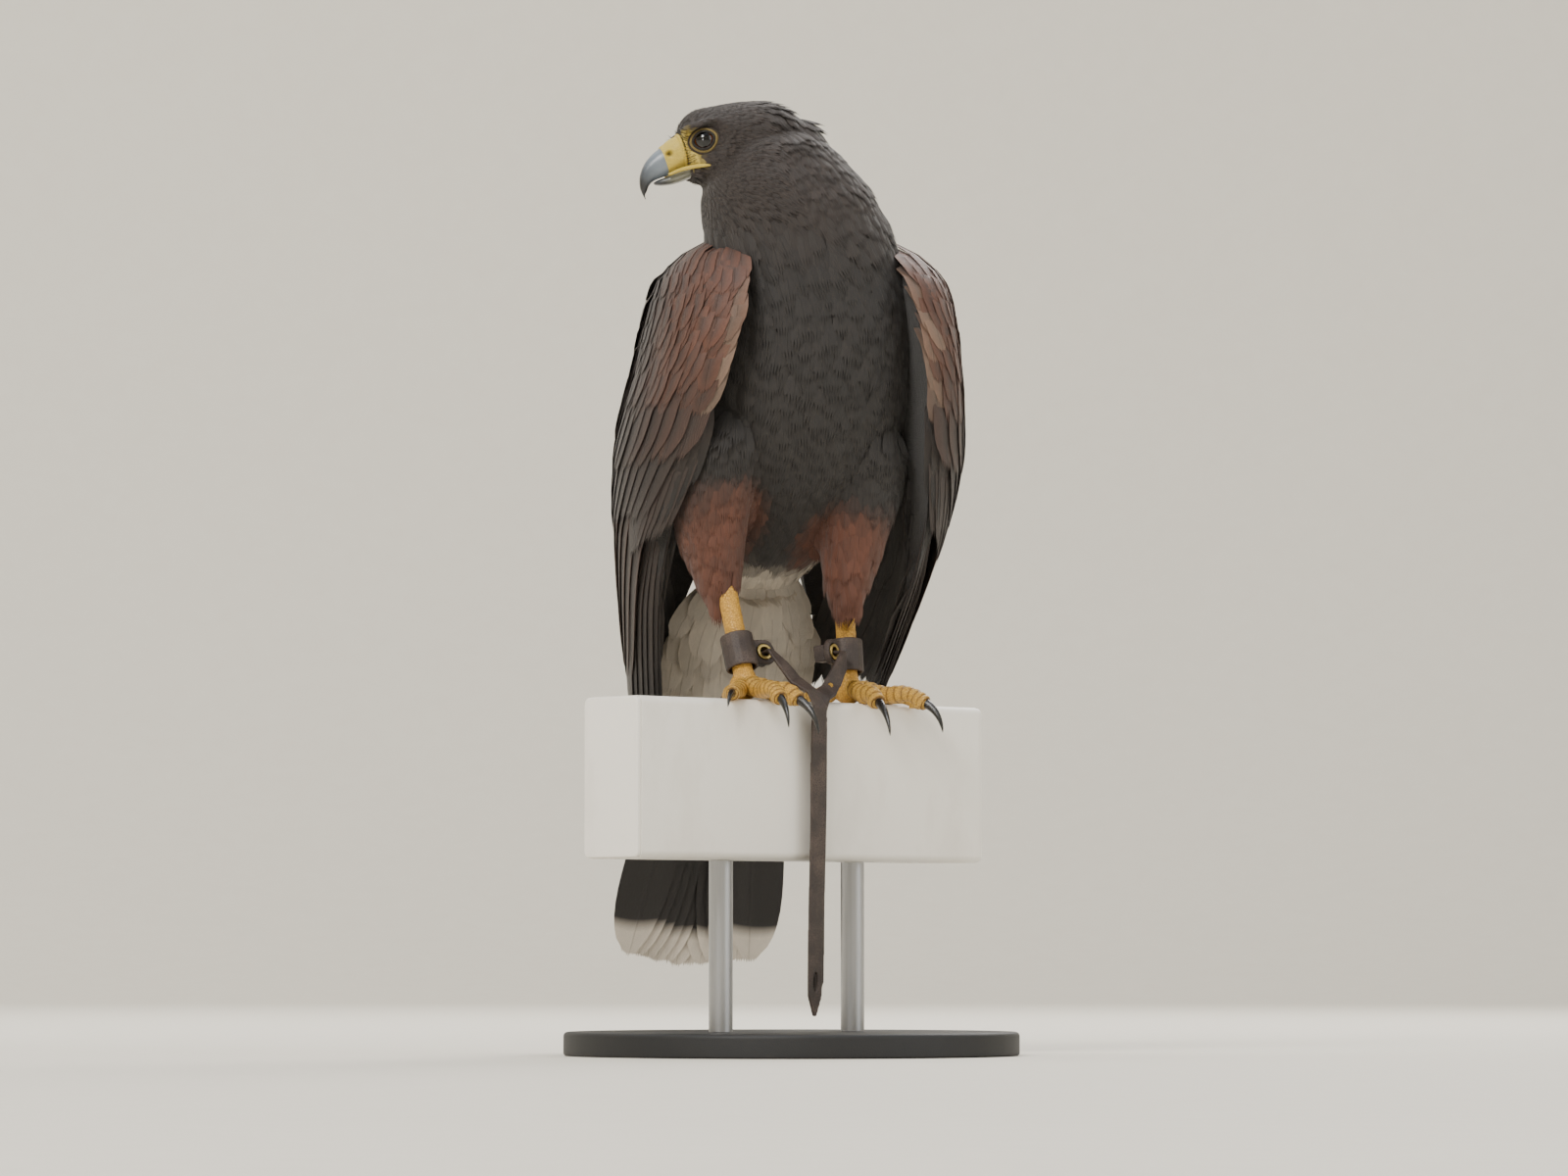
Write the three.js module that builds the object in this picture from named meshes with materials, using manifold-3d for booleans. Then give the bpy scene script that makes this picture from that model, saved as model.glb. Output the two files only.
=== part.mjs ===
import * as THREE from "three";
import { mergeVertices } from "three/addons/utils/BufferGeometryUtils.js";
import Module from "manifold-3d";

// A life-size Harris's hawk, still, perched on a short length of box-section rail that a plain display
// stand holds up. Millimetres, +Z up. The breast faces -Y and the bird's left is +X. The bird's own
// heights are measured from the top of the rail, and its group is lifted by perchTop.

const wasm = await Module();
wasm.setup();

// Driving sizes of the perch and its stand
const gap = 0.3; // left between neighbouring pieces
const weld = 1e-3; // corners nearer than this are one
const sliver = 0.05; // detail finer than this is smoothed away
const finest = 1 / 256; // corners lie on a grid this fine
const rail = { height: 80, depth: 40, halfLength: 118, corner: 4, turn: 25.8, shift: -3 };
const capThickness = 2.5;
const base = { radius: 115, thickness: 12, chamfer: 2 };
const rodRadius = 6;
const rodSpread = 46; // from the rail's middle to each rod
const strapDrop = 158; // how far the longer leg strap hangs below the rail's top
const strapClearance = 8;
const perchTop = base.thickness + strapClearance + strapDrop;

// Driving sizes of the bird
const crownHeight = 303;
const trunkSway = 6; // how far the trunk and the wings stand to the bird's left of its feet
const tailLength = 216;
const tailSteepness = 70; // degrees below the horizon
const tailSwing = -3; // degrees towards the bird's right
const headTurn = 99; // degrees to the bird's right
const headPitch = 17; // degrees down
const headRoot = new THREE.Vector3(-13, -8, crownHeight - 20.4);
const eyeRadius = 6.6;
const eyePlace = { forward: 34.5, side: 12.6, up: 10.4 };

// Colours, from the plumage and bare parts
const paint = {
  body: ["#2b2522", 0.9],
  wing: ["#3a2a24", 0.85],
  thigh: ["#6b3a28", 0.9],
  tail: ["#26211f", 0.85],
  cere: ["#d8c04a", 0.5],
  bill: ["#5d6670", 0.35],
  eye: ["#2a1a10", 0.1],
  skin: ["#d9a63c", 0.6],
  claw: ["#16130f", 0.3],
  leather: ["#2e241f", 0.7],
  metal: ["#c9c0a0", 0.3],
  rail: ["#efe8dc", 0.5],
  stand: ["#1d1d1e", 0.6],
  steel: ["#a9abad", 0.35],
};

// Small tools

const v3 = (x, y, z) => new THREE.Vector3(x, y, z);
const degrees = THREE.MathUtils.degToRad;
const lerp = THREE.MathUtils.lerp;
const ease = (x, low, high) => THREE.MathUtils.smoothstep(x, low, high);

// A seeded draw, so that each build varies its feathers in the same way.
function dice(seed) {
  let state = seed;
  return () => {
    state = (state * 16807) % 2147483647;
    return state / 2147483647;
  };
}

// A smooth curve through stations: rows of [key, value, value, ...] with rising keys.
function track(rows) {
  const slope = (i, c) => {
    const a = rows[Math.max(i - 1, 0)];
    const b = rows[Math.min(i + 1, rows.length - 1)];
    return (b[c] - a[c]) / (b[0] - a[0]);
  };
  return (key) => {
    let i = 0;
    while (i < rows.length - 2 && key > rows[i + 1][0]) i++;
    const [a, b] = [rows[i], rows[i + 1]];
    const span = b[0] - a[0];
    const t = THREE.MathUtils.clamp((key - a[0]) / span, 0, 1);
    const [t2, t3] = [t * t, t * t * t];
    return a.slice(1).map((_, n) => {
      const c = n + 1;
      return (
        (2 * t3 - 3 * t2 + 1) * a[c] + (t3 - 2 * t2 + t) * span * slope(i, c) +
        (3 * t2 - 2 * t3) * b[c] + (t3 - t2) * span * slope(i + 1, c)
      );
    });
  };
}

// A solid from points and triangles, turned outwards if its faces point in.
function solidFrom(points, triangles) {
  const vertProperties = new Float32Array(points.flatMap((p) => [p.x, p.y, p.z]));
  const make = (list) => {
    const triVerts = new Uint32Array(list.flat());
    return new wasm.Manifold(new wasm.Mesh({ numProp: 3, vertProperties, triVerts }));
  };
  const made = make(triangles);
  return made.volume() < 0 ? make(triangles.map(([a, b, c]) => [a, c, b])) : made;
}

// A solid through rings of points. A ring of one point is a tip, and an open end gets a flat fan.
function loft(rings) {
  const points = [];
  const triangles = [];
  const starts = rings.map((ring) => points.push(...ring) - ring.length);
  for (let k = 0; k + 1 < rings.length; k++) {
    const [m, n] = [rings[k].length, rings[k + 1].length];
    const [a, b] = [starts[k], starts[k + 1]];
    const count = Math.max(m, n);
    for (let i = 0; i < count; i++) {
      const j = (i + 1) % count;
      if (n > 1) triangles.push([a + (m > 1 ? i : 0), b + j, b + i]);
      if (m > 1) triangles.push([a + i, a + j, b + (n > 1 ? j : 0)]);
    }
  }
  const close = (ring, start, turned) => {
    if (ring.length === 1) return;
    const middle = points.push(ring.reduce((s, p) => s.add(p), v3(0, 0, 0)).divideScalar(ring.length)) - 1;
    ring.forEach((_, i) => {
      const j = (i + 1) % ring.length;
      triangles.push(turned ? [middle, start + j, start + i] : [middle, start + i, start + j]);
    });
  };
  close(rings[0], starts[0], true);
  close(rings.at(-1), starts.at(-1), false);
  return solidFrom(points, triangles);
}

// A three.js geometry as a solid, its corners welded.
function solidOf(geometry) {
  const bare = new THREE.BufferGeometry().setAttribute("position", geometry.getAttribute("position"));
  const merged = mergeVertices(bare.setIndex(geometry.index), weld);
  const place = merged.getAttribute("position");
  const points = Array.from({ length: place.count }, (_, i) => v3().fromBufferAttribute(place, i));
  const index = Array.from(merged.index.array);
  const triangles = [];
  for (let i = 0; i < index.length; i += 3) triangles.push(index.slice(i, i + 3));
  return solidFrom(points, triangles);
}

function geometryOf(solid) {
  const mesh = solid.getMesh();
  const geometry = new THREE.BufferGeometry();
  geometry.setAttribute("position", new THREE.BufferAttribute(new Float32Array(mesh.vertProperties), 3));
  return geometry.setIndex(new THREE.BufferAttribute(new Uint32Array(mesh.triVerts), 1));
}

const join = (pieces) => pieces.reduce((sum, piece) => sum.add(piece));
const cutFrom = (piece, cutters) => cutters.reduce((left, cutter) => left.subtract(cutter), piece);

// The largest closed surface of a solid.
function largest(solid) {
  return solid.decompose().reduce((best, s) => (s.volume() > best.volume() ? s : best));
}

// One named node, its corners on the grid. Moving them can pinch off a sliver, so the largest surface
// is taken again afterwards.
function node(name, solid, [colour, roughness], metalness = 0) {
  const rough = geometryOf(largest(solid.simplify(sliver)));
  const corners = rough.getAttribute("position").array;
  corners.forEach((value, i) => {
    corners[i] = Math.round(value / finest) * finest;
  });
  const geometry = geometryOf(largest(solidOf(rough)));
  geometry.computeVertexNormals();
  const finish = new THREE.MeshStandardMaterial({ color: colour, roughness, metalness });
  const made = new THREE.Mesh(geometry, finish);
  made.name = name;
  return made;
}

// An oval ring of points round a centre, with its two half axes as vectors.
function oval(centre, across, upward, count, squareness = 1) {
  return Array.from({ length: count }, (_, i) => {
    const angle = (i / count) * Math.PI * 2;
    const [c, s] = [Math.cos(angle), Math.sin(angle)];
    const shape = (x) => Math.sign(x) * Math.abs(x) ** squareness;
    return centre.clone().addScaledVector(across, shape(c)).addScaledVector(upward, shape(s));
  });
}

// A round tube along a curve, with a radius at each step.
function tube(curve, steps, sides, radiusAt, ridgeAt = () => 0) {
  return loft(
    Array.from({ length: steps + 1 }, (_, k) => {
      const t = k / steps;
      const ahead = curve.getTangentAt(t);
      const side = v3(-ahead.y, ahead.x, 0).normalize();
      const top = side.clone().cross(ahead).normalize();
      if (top.z < 0) top.negate();
      const centre = curve.getPointAt(t);
      return Array.from({ length: sides }, (_, i) => {
        const angle = (i / sides) * Math.PI * 2;
        const lift = 1 + ridgeAt(t, k) * Math.max(0, Math.sin(angle));
        const radius = radiusAt(t) * lift;
        return centre
          .clone()
          .addScaledVector(side, Math.cos(angle) * radius)
          .addScaledVector(top, Math.sin(angle) * radius);
      });
    }),
  );
}

// A feather: a thin plate. spot(v, x, h) is its point a share v of the way to the tip, x to one side
// and h above the middle of the plate. Both faces are split alike.
function vane(spot, halfWidth, { rows, columns = 1, thickness = 0.8 }) {
  const points = [];
  const grid = (face) =>
    rows.map((v) => {
      const width = halfWidth * vaneWidth(v);
      const height = (face * thickness * vaneThickness(v)) / 2;
      return Array.from({ length: columns + 1 }, (_, c) => {
        return points.push(spot(v, ((c / columns) * 2 - 1) * width, height)) - 1;
      });
    });
  const [top, bottom] = [grid(1), grid(-1)];
  const triangles = [];
  const quad = (a, b, c, d) => triangles.push([a, b, c], [a, c, d]);
  const last = rows.length - 1;
  for (let r = 0; r < last; r++) {
    for (let c = 0; c < columns; c++) {
      quad(top[r][c], top[r][c + 1], top[r + 1][c + 1], top[r + 1][c]);
      triangles.push([bottom[r][c], bottom[r + 1][c + 1], bottom[r][c + 1]]);
      triangles.push([bottom[r][c], bottom[r + 1][c], bottom[r + 1][c + 1]]);
    }
    quad(top[r][0], top[r + 1][0], bottom[r + 1][0], bottom[r][0]);
    quad(top[r][columns], bottom[r][columns], bottom[r + 1][columns], top[r + 1][columns]);
  }
  for (let c = 0; c < columns; c++) {
    quad(top[0][c], bottom[0][c], bottom[0][c + 1], top[0][c + 1]);
    quad(bottom[last][c], top[last][c], top[last][c + 1], bottom[last][c + 1]);
  }
  return solidFrom(points, triangles);
}
const longRows = [0, 0.35, 0.68, 0.89, 1];
const evenRows = [0, 0.45, 0.84, 1];
const shortRows = [0, 0.42, 0.8, 1];
const plumeRows = [0, 0.62, 1];
const vaneTip = (v) => Math.sqrt(Math.max(0.03, 1 - Math.max(0, (v - 0.78) / 0.22) ** 2));
const vaneWidth = (v) => Math.min(1, 0.5 + 1.7 * v) * vaneTip(v);
const vaneThickness = (v) => 1 - 0.2 * v;

// The torso and the neck: one smooth form along the spine, from the tail's root up into the head.
// Each row: key, then centre x, y, z, half width, half depth.
const spine = track([
  [0, 2, 81, 66, 26, 15],
  [1, 2, 67, 83, 36, 24],
  [2, 3, 46, 106, 48, 36],
  [3, 5, 26, 134, 57, 46],
  [4, trunkSway, 12, 164, 61, 51],
  [5, trunkSway, 2, 194, 59, 50],
  [6, 2, -5, 221, 54, 45],
  [7, -4, -8, 240, 48.5, 41],
  [8, -9.5, -8, 256, 43, 37],
  [9, -13.5, -7, 270, 36, 32],
  [10, -17, -6, 283, 26.5, 25],
  [11, -20, -6, 294, 11, 11],
]);
const neckStart = 6;
const neckEnd = 11;

function bodyRing(key, grow = 0, count = 20) {
  const [x, y, z, halfWidth, halfDepth] = spine(key);
  const step = 0.05;
  const before = v3(...spine(Math.max(key - step, 0)));
  const after = v3(...spine(Math.min(key + step, neckEnd)));
  const along = after.sub(before).normalize();
  const across = v3(1, 0, 0).addScaledVector(along, -along.x).normalize();
  const upward = along.clone().cross(across).normalize();
  across.multiplyScalar(halfWidth + grow);
  upward.multiplyScalar(halfDepth + grow);
  return oval(v3(x, y, z), across, upward, count, 0.92);
}

const keysBetween = (from, to, steps) =>
  Array.from({ length: steps + 1 }, (_, i) => lerp(from, to, i / steps));
const torsoKeys = keysBetween(0, neckStart - 0.006, 10);
const neckKeys = keysBetween(neckStart + 0.006, neckEnd, 7);
function bodyLength(keys, grow = 0) {
  const rings = keys.map((key) => bodyRing(key, grow));
  const outwards = v3(...spine(0)).sub(v3(...spine(0.1))).setLength(grow);
  rings[0].forEach((p) => p.add(outwards));
  return loft(rings);
}

// The head, in a frame of its own: forward along the bill, side to the bird's left when it looks
// straight ahead, and up. Each row: forward, middle height, half height, half width.
const skull = track([
  [-18, 3.2, 4, 5],
  [-14, 3.8, 11.5, 12.5],
  [-4, 3.4, 18.6, 18.4],
  [10, 3.6, 21.8, 21.8],
  [24, 4.3, 22.6, 22.2],
  [34, 6, 21.2, 19.4],
  [40.5, 6.9, 17.9, 15.6],
  [45.2, 7, 13.6, 12.2],
]);
const skullFront = 45.2;

function headFrame() {
  const turn = degrees(headTurn);
  const forward = v3(-Math.sin(turn), -Math.cos(turn), 0);
  const side = v3(-forward.y, forward.x, 0);
  forward.multiplyScalar(Math.cos(degrees(headPitch))).add(v3(0, 0, -Math.sin(degrees(headPitch))));
  return { forward, side, up: forward.clone().cross(side) };
}
const head = headFrame();

function onHead(forward, side, up) {
  return headRoot
    .clone()
    .addScaledVector(head.forward, forward)
    .addScaledVector(head.side, side)
    .addScaledVector(head.up, up);
}

function headRing(forward, grow = 0, count = 18) {
  const [middle, halfHeight, halfWidth] = skull(forward);
  const across = head.side.clone().multiplyScalar(halfWidth + grow);
  const upward = head.up.clone().multiplyScalar(halfHeight + grow);
  return oval(onHead(forward, 0, middle), across, upward, count, 0.9);
}

function skullForm(grow = 0) {
  const places = [-18, -14, -8, 2, 12, 20, 27, 33, 37.5, 41.5, skullFront];
  const rings = places.map((forward, i) => {
    const last = i === places.length - 1;
    return headRing(forward, grow).map((p) => (last ? p.addScaledVector(head.forward, grow) : p));
  });
  return loft([[onHead(-18.8 - grow, 0, 3.2)], ...rings]);
}

const sideSign = { left: 1, right: -1 };
const eyeCentre = (side) => onHead(eyePlace.forward, sideSign[side] * eyePlace.side, eyePlace.up);

function ball(centre, radius, across = 12, down = 8) {
  return solidOf(new THREE.SphereGeometry(radius, across, down).translate(centre.x, centre.y, centre.z));
}

// A round lid rim about the eye, and the bony brow that shades it.
function lidRim(side) {
  const outward = head.side.clone().multiplyScalar(sideSign[side]);
  outward.addScaledVector(head.forward, 0.35).normalize();
  const ring = new THREE.TorusGeometry(6.1, 1.2, 4, 12);
  ring.applyQuaternion(new THREE.Quaternion().setFromUnitVectors(v3(0, 0, 1), outward));
  const centre = eyeCentre(side).addScaledVector(outward, 2.5);
  return solidOf(ring.translate(centre.x, centre.y, centre.z));
}

function brow(side) {
  const form = new THREE.SphereGeometry(1, 8, 6).scale(11.5, 3.8, 2.8);
  const basis = new THREE.Matrix4().makeBasis(head.forward, head.side, head.up);
  const centre = onHead(eyePlace.forward - 1, sideSign[side] * (eyePlace.side + 3), eyePlace.up + 7.4);
  return solidOf(form.applyMatrix4(basis.setPosition(centre)));
}

function mouthCut() {
  const slot = new THREE.BoxGeometry(9, 60, 0.9).rotateY(degrees(-4));
  const basis = new THREE.Matrix4().makeBasis(head.forward, head.side, head.up);
  const deep = solidOf(slot.applyMatrix4(basis.setPosition(onHead(skullFront - 3, 0, -0.2))));
  const middle = new THREE.BoxGeometry(30, 19, 30);
  return cutFrom(deep, [solidOf(middle.applyMatrix4(basis.setPosition(onHead(skullFront - 4, 0, 0))))]);
}

// The bill. Each row: key, culmen forward and up, cutting edge forward and up, half width.
const upperBill = track([
  [0, 45.5, 17, 45.5, 0.8, 9.8],
  [1, 50.8, 16, 50.2, 0, 8.1],
  [2, 56, 13.6, 55.2, -0.8, 6.6],
  [3, 61.2, 11.3, 60, -1, 5.4],
  [4, 66, 7.8, 63.9, -1.6, 4.3],
  [5, 69.6, 3, 66.9, -3.4, 3.1],
  [6, 71.2, -2, 68.6, -5.6, 2],
  [7, 71.2, -5.6, 70, -7.2, 1],
]);
const billTip = [70.5, -9.2];
const cereEnd = 2;
const nostril = { forward: 52.9, side: 7.1, up: 9 };
const lowerBill = track([
  [0, 45.5, -0.1, 45.5, -5.4, 7.9],
  [1, 50.8, -0.7, 50.8, -5.8, 6.4],
  [2, 56, -1.4, 55.8, -5.7, 4.9],
  [3, 61, -1.7, 60.6, -4.8, 3.5],
  [4, 64, -2.3, 63.5, -3.7, 1.7],
]);

function billRing(form, key, count = 12, nudge = 0) {
  const [topForward, topUp, lowForward, lowUp, halfWidth] = form(key);
  const top = onHead(topForward, 0, topUp);
  const low = onHead(lowForward, 0, lowUp);
  const centre = top.clone().add(low).multiplyScalar(0.5);
  const across = head.side.clone().multiplyScalar(halfWidth);
  const upward = top.clone().sub(low).multiplyScalar(0.5);
  const ahead = upward.clone().cross(across).normalize().multiplyScalar(nudge);
  return oval(centre.add(ahead), across, upward, count, 0.85);
}

function cereForm() {
  const rings = [0, 0.5, 1, 1.5, cereEnd].map((key) => billRing(upperBill, key, 14));
  const basis = new THREE.Matrix4().makeBasis(head.forward, head.side, head.up);
  const nostrils = ["left", "right"].map((side) => {
    const form = new THREE.SphereGeometry(1, 8, 6).scale(2.1, 2.6, 1.4);
    const place = onHead(nostril.forward, sideSign[side] * nostril.side, nostril.up);
    return solidOf(form.applyMatrix4(basis.setPosition(place)));
  });
  return cutFrom(loft(rings), nostrils);
}

function upperBillForm() {
  const rings = [cereEnd, 2.5, 3, 3.5, 4, 4.5, 5, 5.5, 6, 6.5, 7].map((key) =>
    billRing(upperBill, key, 12, key === cereEnd ? -gap : 0),
  );
  const first = billRing(upperBill, cereEnd, 14);
  const shift = first.reduce((s, p) => s.add(p), v3(0, 0, 0)).divideScalar(first.length);
  const next = billRing(upperBill, cereEnd + 0.5, 12);
  const ahead = next.reduce((s, p) => s.add(p), v3(0, 0, 0)).divideScalar(next.length).sub(shift).normalize();
  rings[0] = billRing(upperBill, cereEnd, 12).map((p) => p.addScaledVector(ahead, gap));
  return loft([...rings, [onHead(billTip[0], 0, billTip[1])]]);
}

function lowerBillForm() {
  return loft([0, 1, 2, 3, 4].map((key) => billRing(lowerBill, key, 10)));
}

// The folded wing, on the bird's left. Each row: height, then the leading edge's x and y, the outermost
// x and y, and the trailing edge's x and y, of the wing's outline at that height.
const wingRows = track([
  [-80, 48, 92, 51, 104, 45, 118],
  [-40, 52, 76, 57, 94, 44, 116],
  [0, 58, 58, 65.5, 80, 39, 112],
  [40, 65, 35, 74, 62, 35, 106],
  [70, 68, 14, 80.5, 48, 25, 100],
  [100, 65, -6, 85.5, 35, 14, 92],
  [131, 58, -24, 86.5, 23, 12, 81],
  [166, 53, -39, 79.5, 12, 15, 70],
  [205, 44, -43, 72, 4, 20, 58],
  [228, 40, -30, 62, 2, 28, 42],
]);
const arcSteps = 14;

// Points round the wing's outline at one height, leading edge first, with the distance to each.
function wingArc(z) {
  const [leadX, leadY, outX, outY, backX, backY] = wingRows(z);
  const points = [];
  for (let i = 0; i <= arcSteps; i++) {
    const angle = (i / arcSteps) * Math.PI - Math.PI / 2;
    const front = angle < 0;
    const x = (front ? leadX : backX) + (outX - (front ? leadX : backX)) * Math.cos(angle);
    const y = outY + (front ? outY - leadY : backY - outY) * Math.sin(angle);
    points.push(v3(x, y, z));
  }
  const lengths = [0];
  for (let i = 1; i < points.length; i++) lengths.push(lengths[i - 1] + points[i].distanceTo(points[i - 1]));
  return { points, lengths, total: lengths.at(-1) };
}

// A point of the wing's surface, at a height and a distance round from the leading edge.
function wingPoint(z, around) {
  const { points, lengths, total } = wingArc(z);
  if (around <= 0) {
    const ahead = points[0].clone().sub(points[1]).normalize();
    return ahead.multiplyScalar(-around).add(points[0]);
  }
  const reach = Math.min(around, total);
  let i = 1;
  while (i < lengths.length - 1 && lengths[i] < reach) i++;
  const t = (reach - lengths[i - 1]) / (lengths[i] - lengths[i - 1]);
  const last = points[i].clone().sub(points[i - 1]);
  return points[i - 1].clone().addScaledVector(last, t).addScaledVector(last.normalize(), around - reach);
}

// The wing's surface moved out by a height.
function wingSpot(z, around, height) {
  const across = wingPoint(z, around + 2).sub(wingPoint(z, around - 2)).normalize();
  return wingPoint(z, around).addScaledVector(v3(across.y, -across.x, 0), height);
}

// A feather on the wing, from its root's height and distance round to those of its tip. Its level is
// its height over the surface, and its lean lifts its outer edge over the feather next to it.
function wingFeather({ root, tip, halfWidth, level, lean, ...shape }) {
  const slant = Math.atan2(tip[1] - root[1], root[0] - tip[0]);
  const spot = (v, x, h) => {
    const z = lerp(root[0], tip[0], v) + x * Math.sin(slant);
    const around = lerp(root[1], tip[1], v) + x * Math.cos(slant);
    return wingSpot(z, around, lerp(-rootDepth, level, ease(v, 0, 0.35)) - x * lean + h);
  };
  return vane(spot, halfWidth, shape);
}

// Tiers of the wing. Roots and tips are given for the first and last feather of each, as height and
// distance round, and step is how much higher each feather lies than the one before.
const coreDepth = 4.5;
const rootDepth = 6;
const tiers = [
  { name: "primaries", count: 6, roots: [[104, 8], [100, 30]], tips: [[-20, 3], [-58, 27]], crest: -24,
    halfWidth: 10, level: -6, step: 1.3, lean: 0.03, rows: longRows },
  { name: "secondaries", count: 5, roots: [[124, 26], [124, 92]], tips: [[12, 28], [30, 74]], crest: 0,
    halfWidth: 14, level: 1, step: 0.1, lean: 0.11, rows: longRows, columns: 2 },
  { name: "tertials", count: 2, roots: [[146, 104], [162, 132]], tips: [[38, 84], [64, 106]], crest: 0,
    halfWidth: 15, level: 3.4, step: 0.9, lean: 0.08, rows: longRows, columns: 2 },
  { name: "greater_coverts", count: 5, roots: [[158, 18], [156, 88]], tips: [[86, 24], [86, 86]], crest: 0,
    halfWidth: 13, level: 4, step: 0.1, lean: 0.1, rows: shortRows, columns: 2 },
  { name: "median_coverts", count: 4, roots: [[188, 10], [190, 96]], tips: [[124, 12], [124, 94]], crest: 0,
    halfWidth: 16, level: 6.2, step: 0.1, lean: 0.09, rows: shortRows, columns: 2 },
  { name: "scapulars", count: 4, roots: [[218, 92], [212, 150]], tips: [[116, 98], [102, 155]], crest: 0,
    halfWidth: 14, level: 8, step: 0.2, lean: 0.09, rows: shortRows, columns: 2 },
];

function tierFeathers({ count, roots, tips, crest, level, step, ...shape }, draw) {
  return Array.from({ length: count }, (_, i) => {
    const t = i / (count - 1);
    const bow = crest * Math.sin(Math.PI * Math.min(1, t * 1.25));
    const spread = (ends, c) => lerp(ends[0][c], ends[1][c], t);
    const root = [spread(roots, 0), spread(roots, 1)];
    const tip = [spread(tips, 0) + bow + (draw() - 0.5) * 4, spread(tips, 1)];
    return wingFeather({ root, tip, level: level + i * step, ...shape });
  });
}

// The arm and hand under the coverts: a shell that lies on the torso.
function wingCore() {
  const heights = [46, 62, 80, 100, 125, 150, 175, 200, 216, 226];
  const thickness = track([[40, 3], [70, 7], [100, 16], [131, 24], [166, 26], [205, 22], [228, 15]]);
  const points = 11;
  const ring = (z, squeeze = 1) => {
    const { total } = wingArc(z);
    const [deep] = thickness(z);
    const edge = (depth) =>
      Array.from({ length: points }, (_, i) => {
        const around = lerp(2, total * 0.97, i / (points - 1));
        const across = wingPoint(z, around + 1).sub(wingPoint(z, around - 1)).normalize();
        const outward = v3(across.y, -across.x, 0);
        return wingPoint(z, around).addScaledVector(outward, -depth);
      });
    const loop = [...edge(coreDepth), ...edge(coreDepth + deep).reverse()];
    const middle = loop.reduce((s, p) => s.add(p), v3(0, 0, 0)).divideScalar(loop.length);
    return loop.map((p) => p.clone().sub(middle).multiplyScalar(squeeze).add(middle));
  };
  const top = ring(226, 0.72).map((p) => p.add(v3(-2, 0, 4)));
  return loft([...heights.map((z) => ring(z)), top]);
}

function mirrored(solid) {
  return solid.mirror([1, 0, 0]);
}

// The tail: stacked feathers, middle pair on top, on a wedge of coverts.
const tailRoot = v3(2, 81, 66);
function tailFrame() {
  const steep = degrees(tailSteepness);
  const swing = degrees(tailSwing);
  const along = v3(Math.sin(swing), Math.cos(steep), -Math.sin(steep)).normalize();
  const side = v3(1, 0, 0).addScaledVector(along, -along.x).normalize();
  return { along, side, up: side.clone().cross(along).normalize().multiplyScalar(-1) };
}
const tail = tailFrame();
if (tail.up.y < 0) tail.up.negate();

function onTail(along, side, up) {
  return tailRoot
    .clone()
    .addScaledVector(tail.along, along)
    .addScaledVector(tail.side, side)
    .addScaledVector(tail.up, up);
}

const tailPairs = 6;
const tailLayer = 1.3;
function tailFeather(place, draw) {
  const out = Math.abs(place);
  const length = tailLength - out * 1.4 - draw() * 2;
  const fan = degrees(place * 1.35);
  const spot = (v, x, h) => {
    const reach = lerp(14, length, v);
    const side = place * 1.2 + Math.sin(fan) * reach + x;
    const lift = (2.4 - (out + (place < 0 ? 0.5 : 0)) * tailLayer) * ease(v, 0, 0.2);
    return onTail(reach, side, lift - side * side * 0.002 + 3 * Math.sin(v * 2) + h);
  };
  return vane(spot, 15.5, { rows: evenRows, thickness: 0.6 });
}

function tailCovert(place, face, reach) {
  const spot = (v, x, h) => {
    const height = face > 0 ? lerp(7, 4.8, v) : -lerp(11, 12.5, v);
    return onTail(lerp(8, reach, v), place * (1 + 0.25 * v) + x, height - place * face * 0.03 + h);
  };
  return vane(spot, face > 0 ? 12 : 14, { rows: shortRows });
}

function tailCore() {
  const rows = [
    [gap, 25.5, 14.5, 0],
    [14, 27, 11.5, -1],
    [34, 27, 8.2, -2],
    [60, 25, 5, -2.6],
    [88, 20, 2.6, -2.4],
  ];
  return loft(
    rows.map(([along, halfWidth, halfDepth, up]) => {
      const across = tail.side.clone().multiplyScalar(halfWidth);
      return oval(onTail(along, 0, up), across, tail.up.clone().multiplyScalar(halfDepth), 20);
    }),
  );
}

function tailForm() {
  const draw = dice(71);
  const feathers = [];
  for (let i = 0; i < tailPairs; i++) {
    feathers.push(tailFeather(i + 0.5, draw), tailFeather(-i - 0.5, draw));
  }
  for (const place of [-14, 0, 14]) {
    feathers.push(tailCovert(place, 1, 62 - Math.abs(place) * 0.5));
  }
  for (const place of [-25, 0, 22]) {
    feathers.push(tailCovert(place, -1, 100 - Math.abs(place) * 0.8));
  }
  return join([tailCore(), ...feathers]);
}

// The legs. The feathered thigh, then the bare shank, then the foot.
const railTurn = degrees(rail.turn);
const railAlong = v3(Math.cos(railTurn), Math.sin(railTurn), 0);
const railFront = v3(Math.sin(railTurn), -Math.cos(railTurn), 0);
const legs = {
  right: { along: -33, heel: [-36, 12, 82], heading: -85, strapSide: 1 },
  left: { along: 40, heel: [37, 31, 82], heading: -52, strapSide: -1 },
};
const ankleHeight = 12;
const knuckle = { up: 7.4, radius: 7.4 };
const footCentre = (side) => railAlong.clone().multiplyScalar(legs[side].along);
const shankAt = (side, t) => {
  const foot = footCentre(side).add(v3(0, 0, ankleHeight));
  return foot.lerp(v3(...legs[side].heel), t);
};

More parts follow.
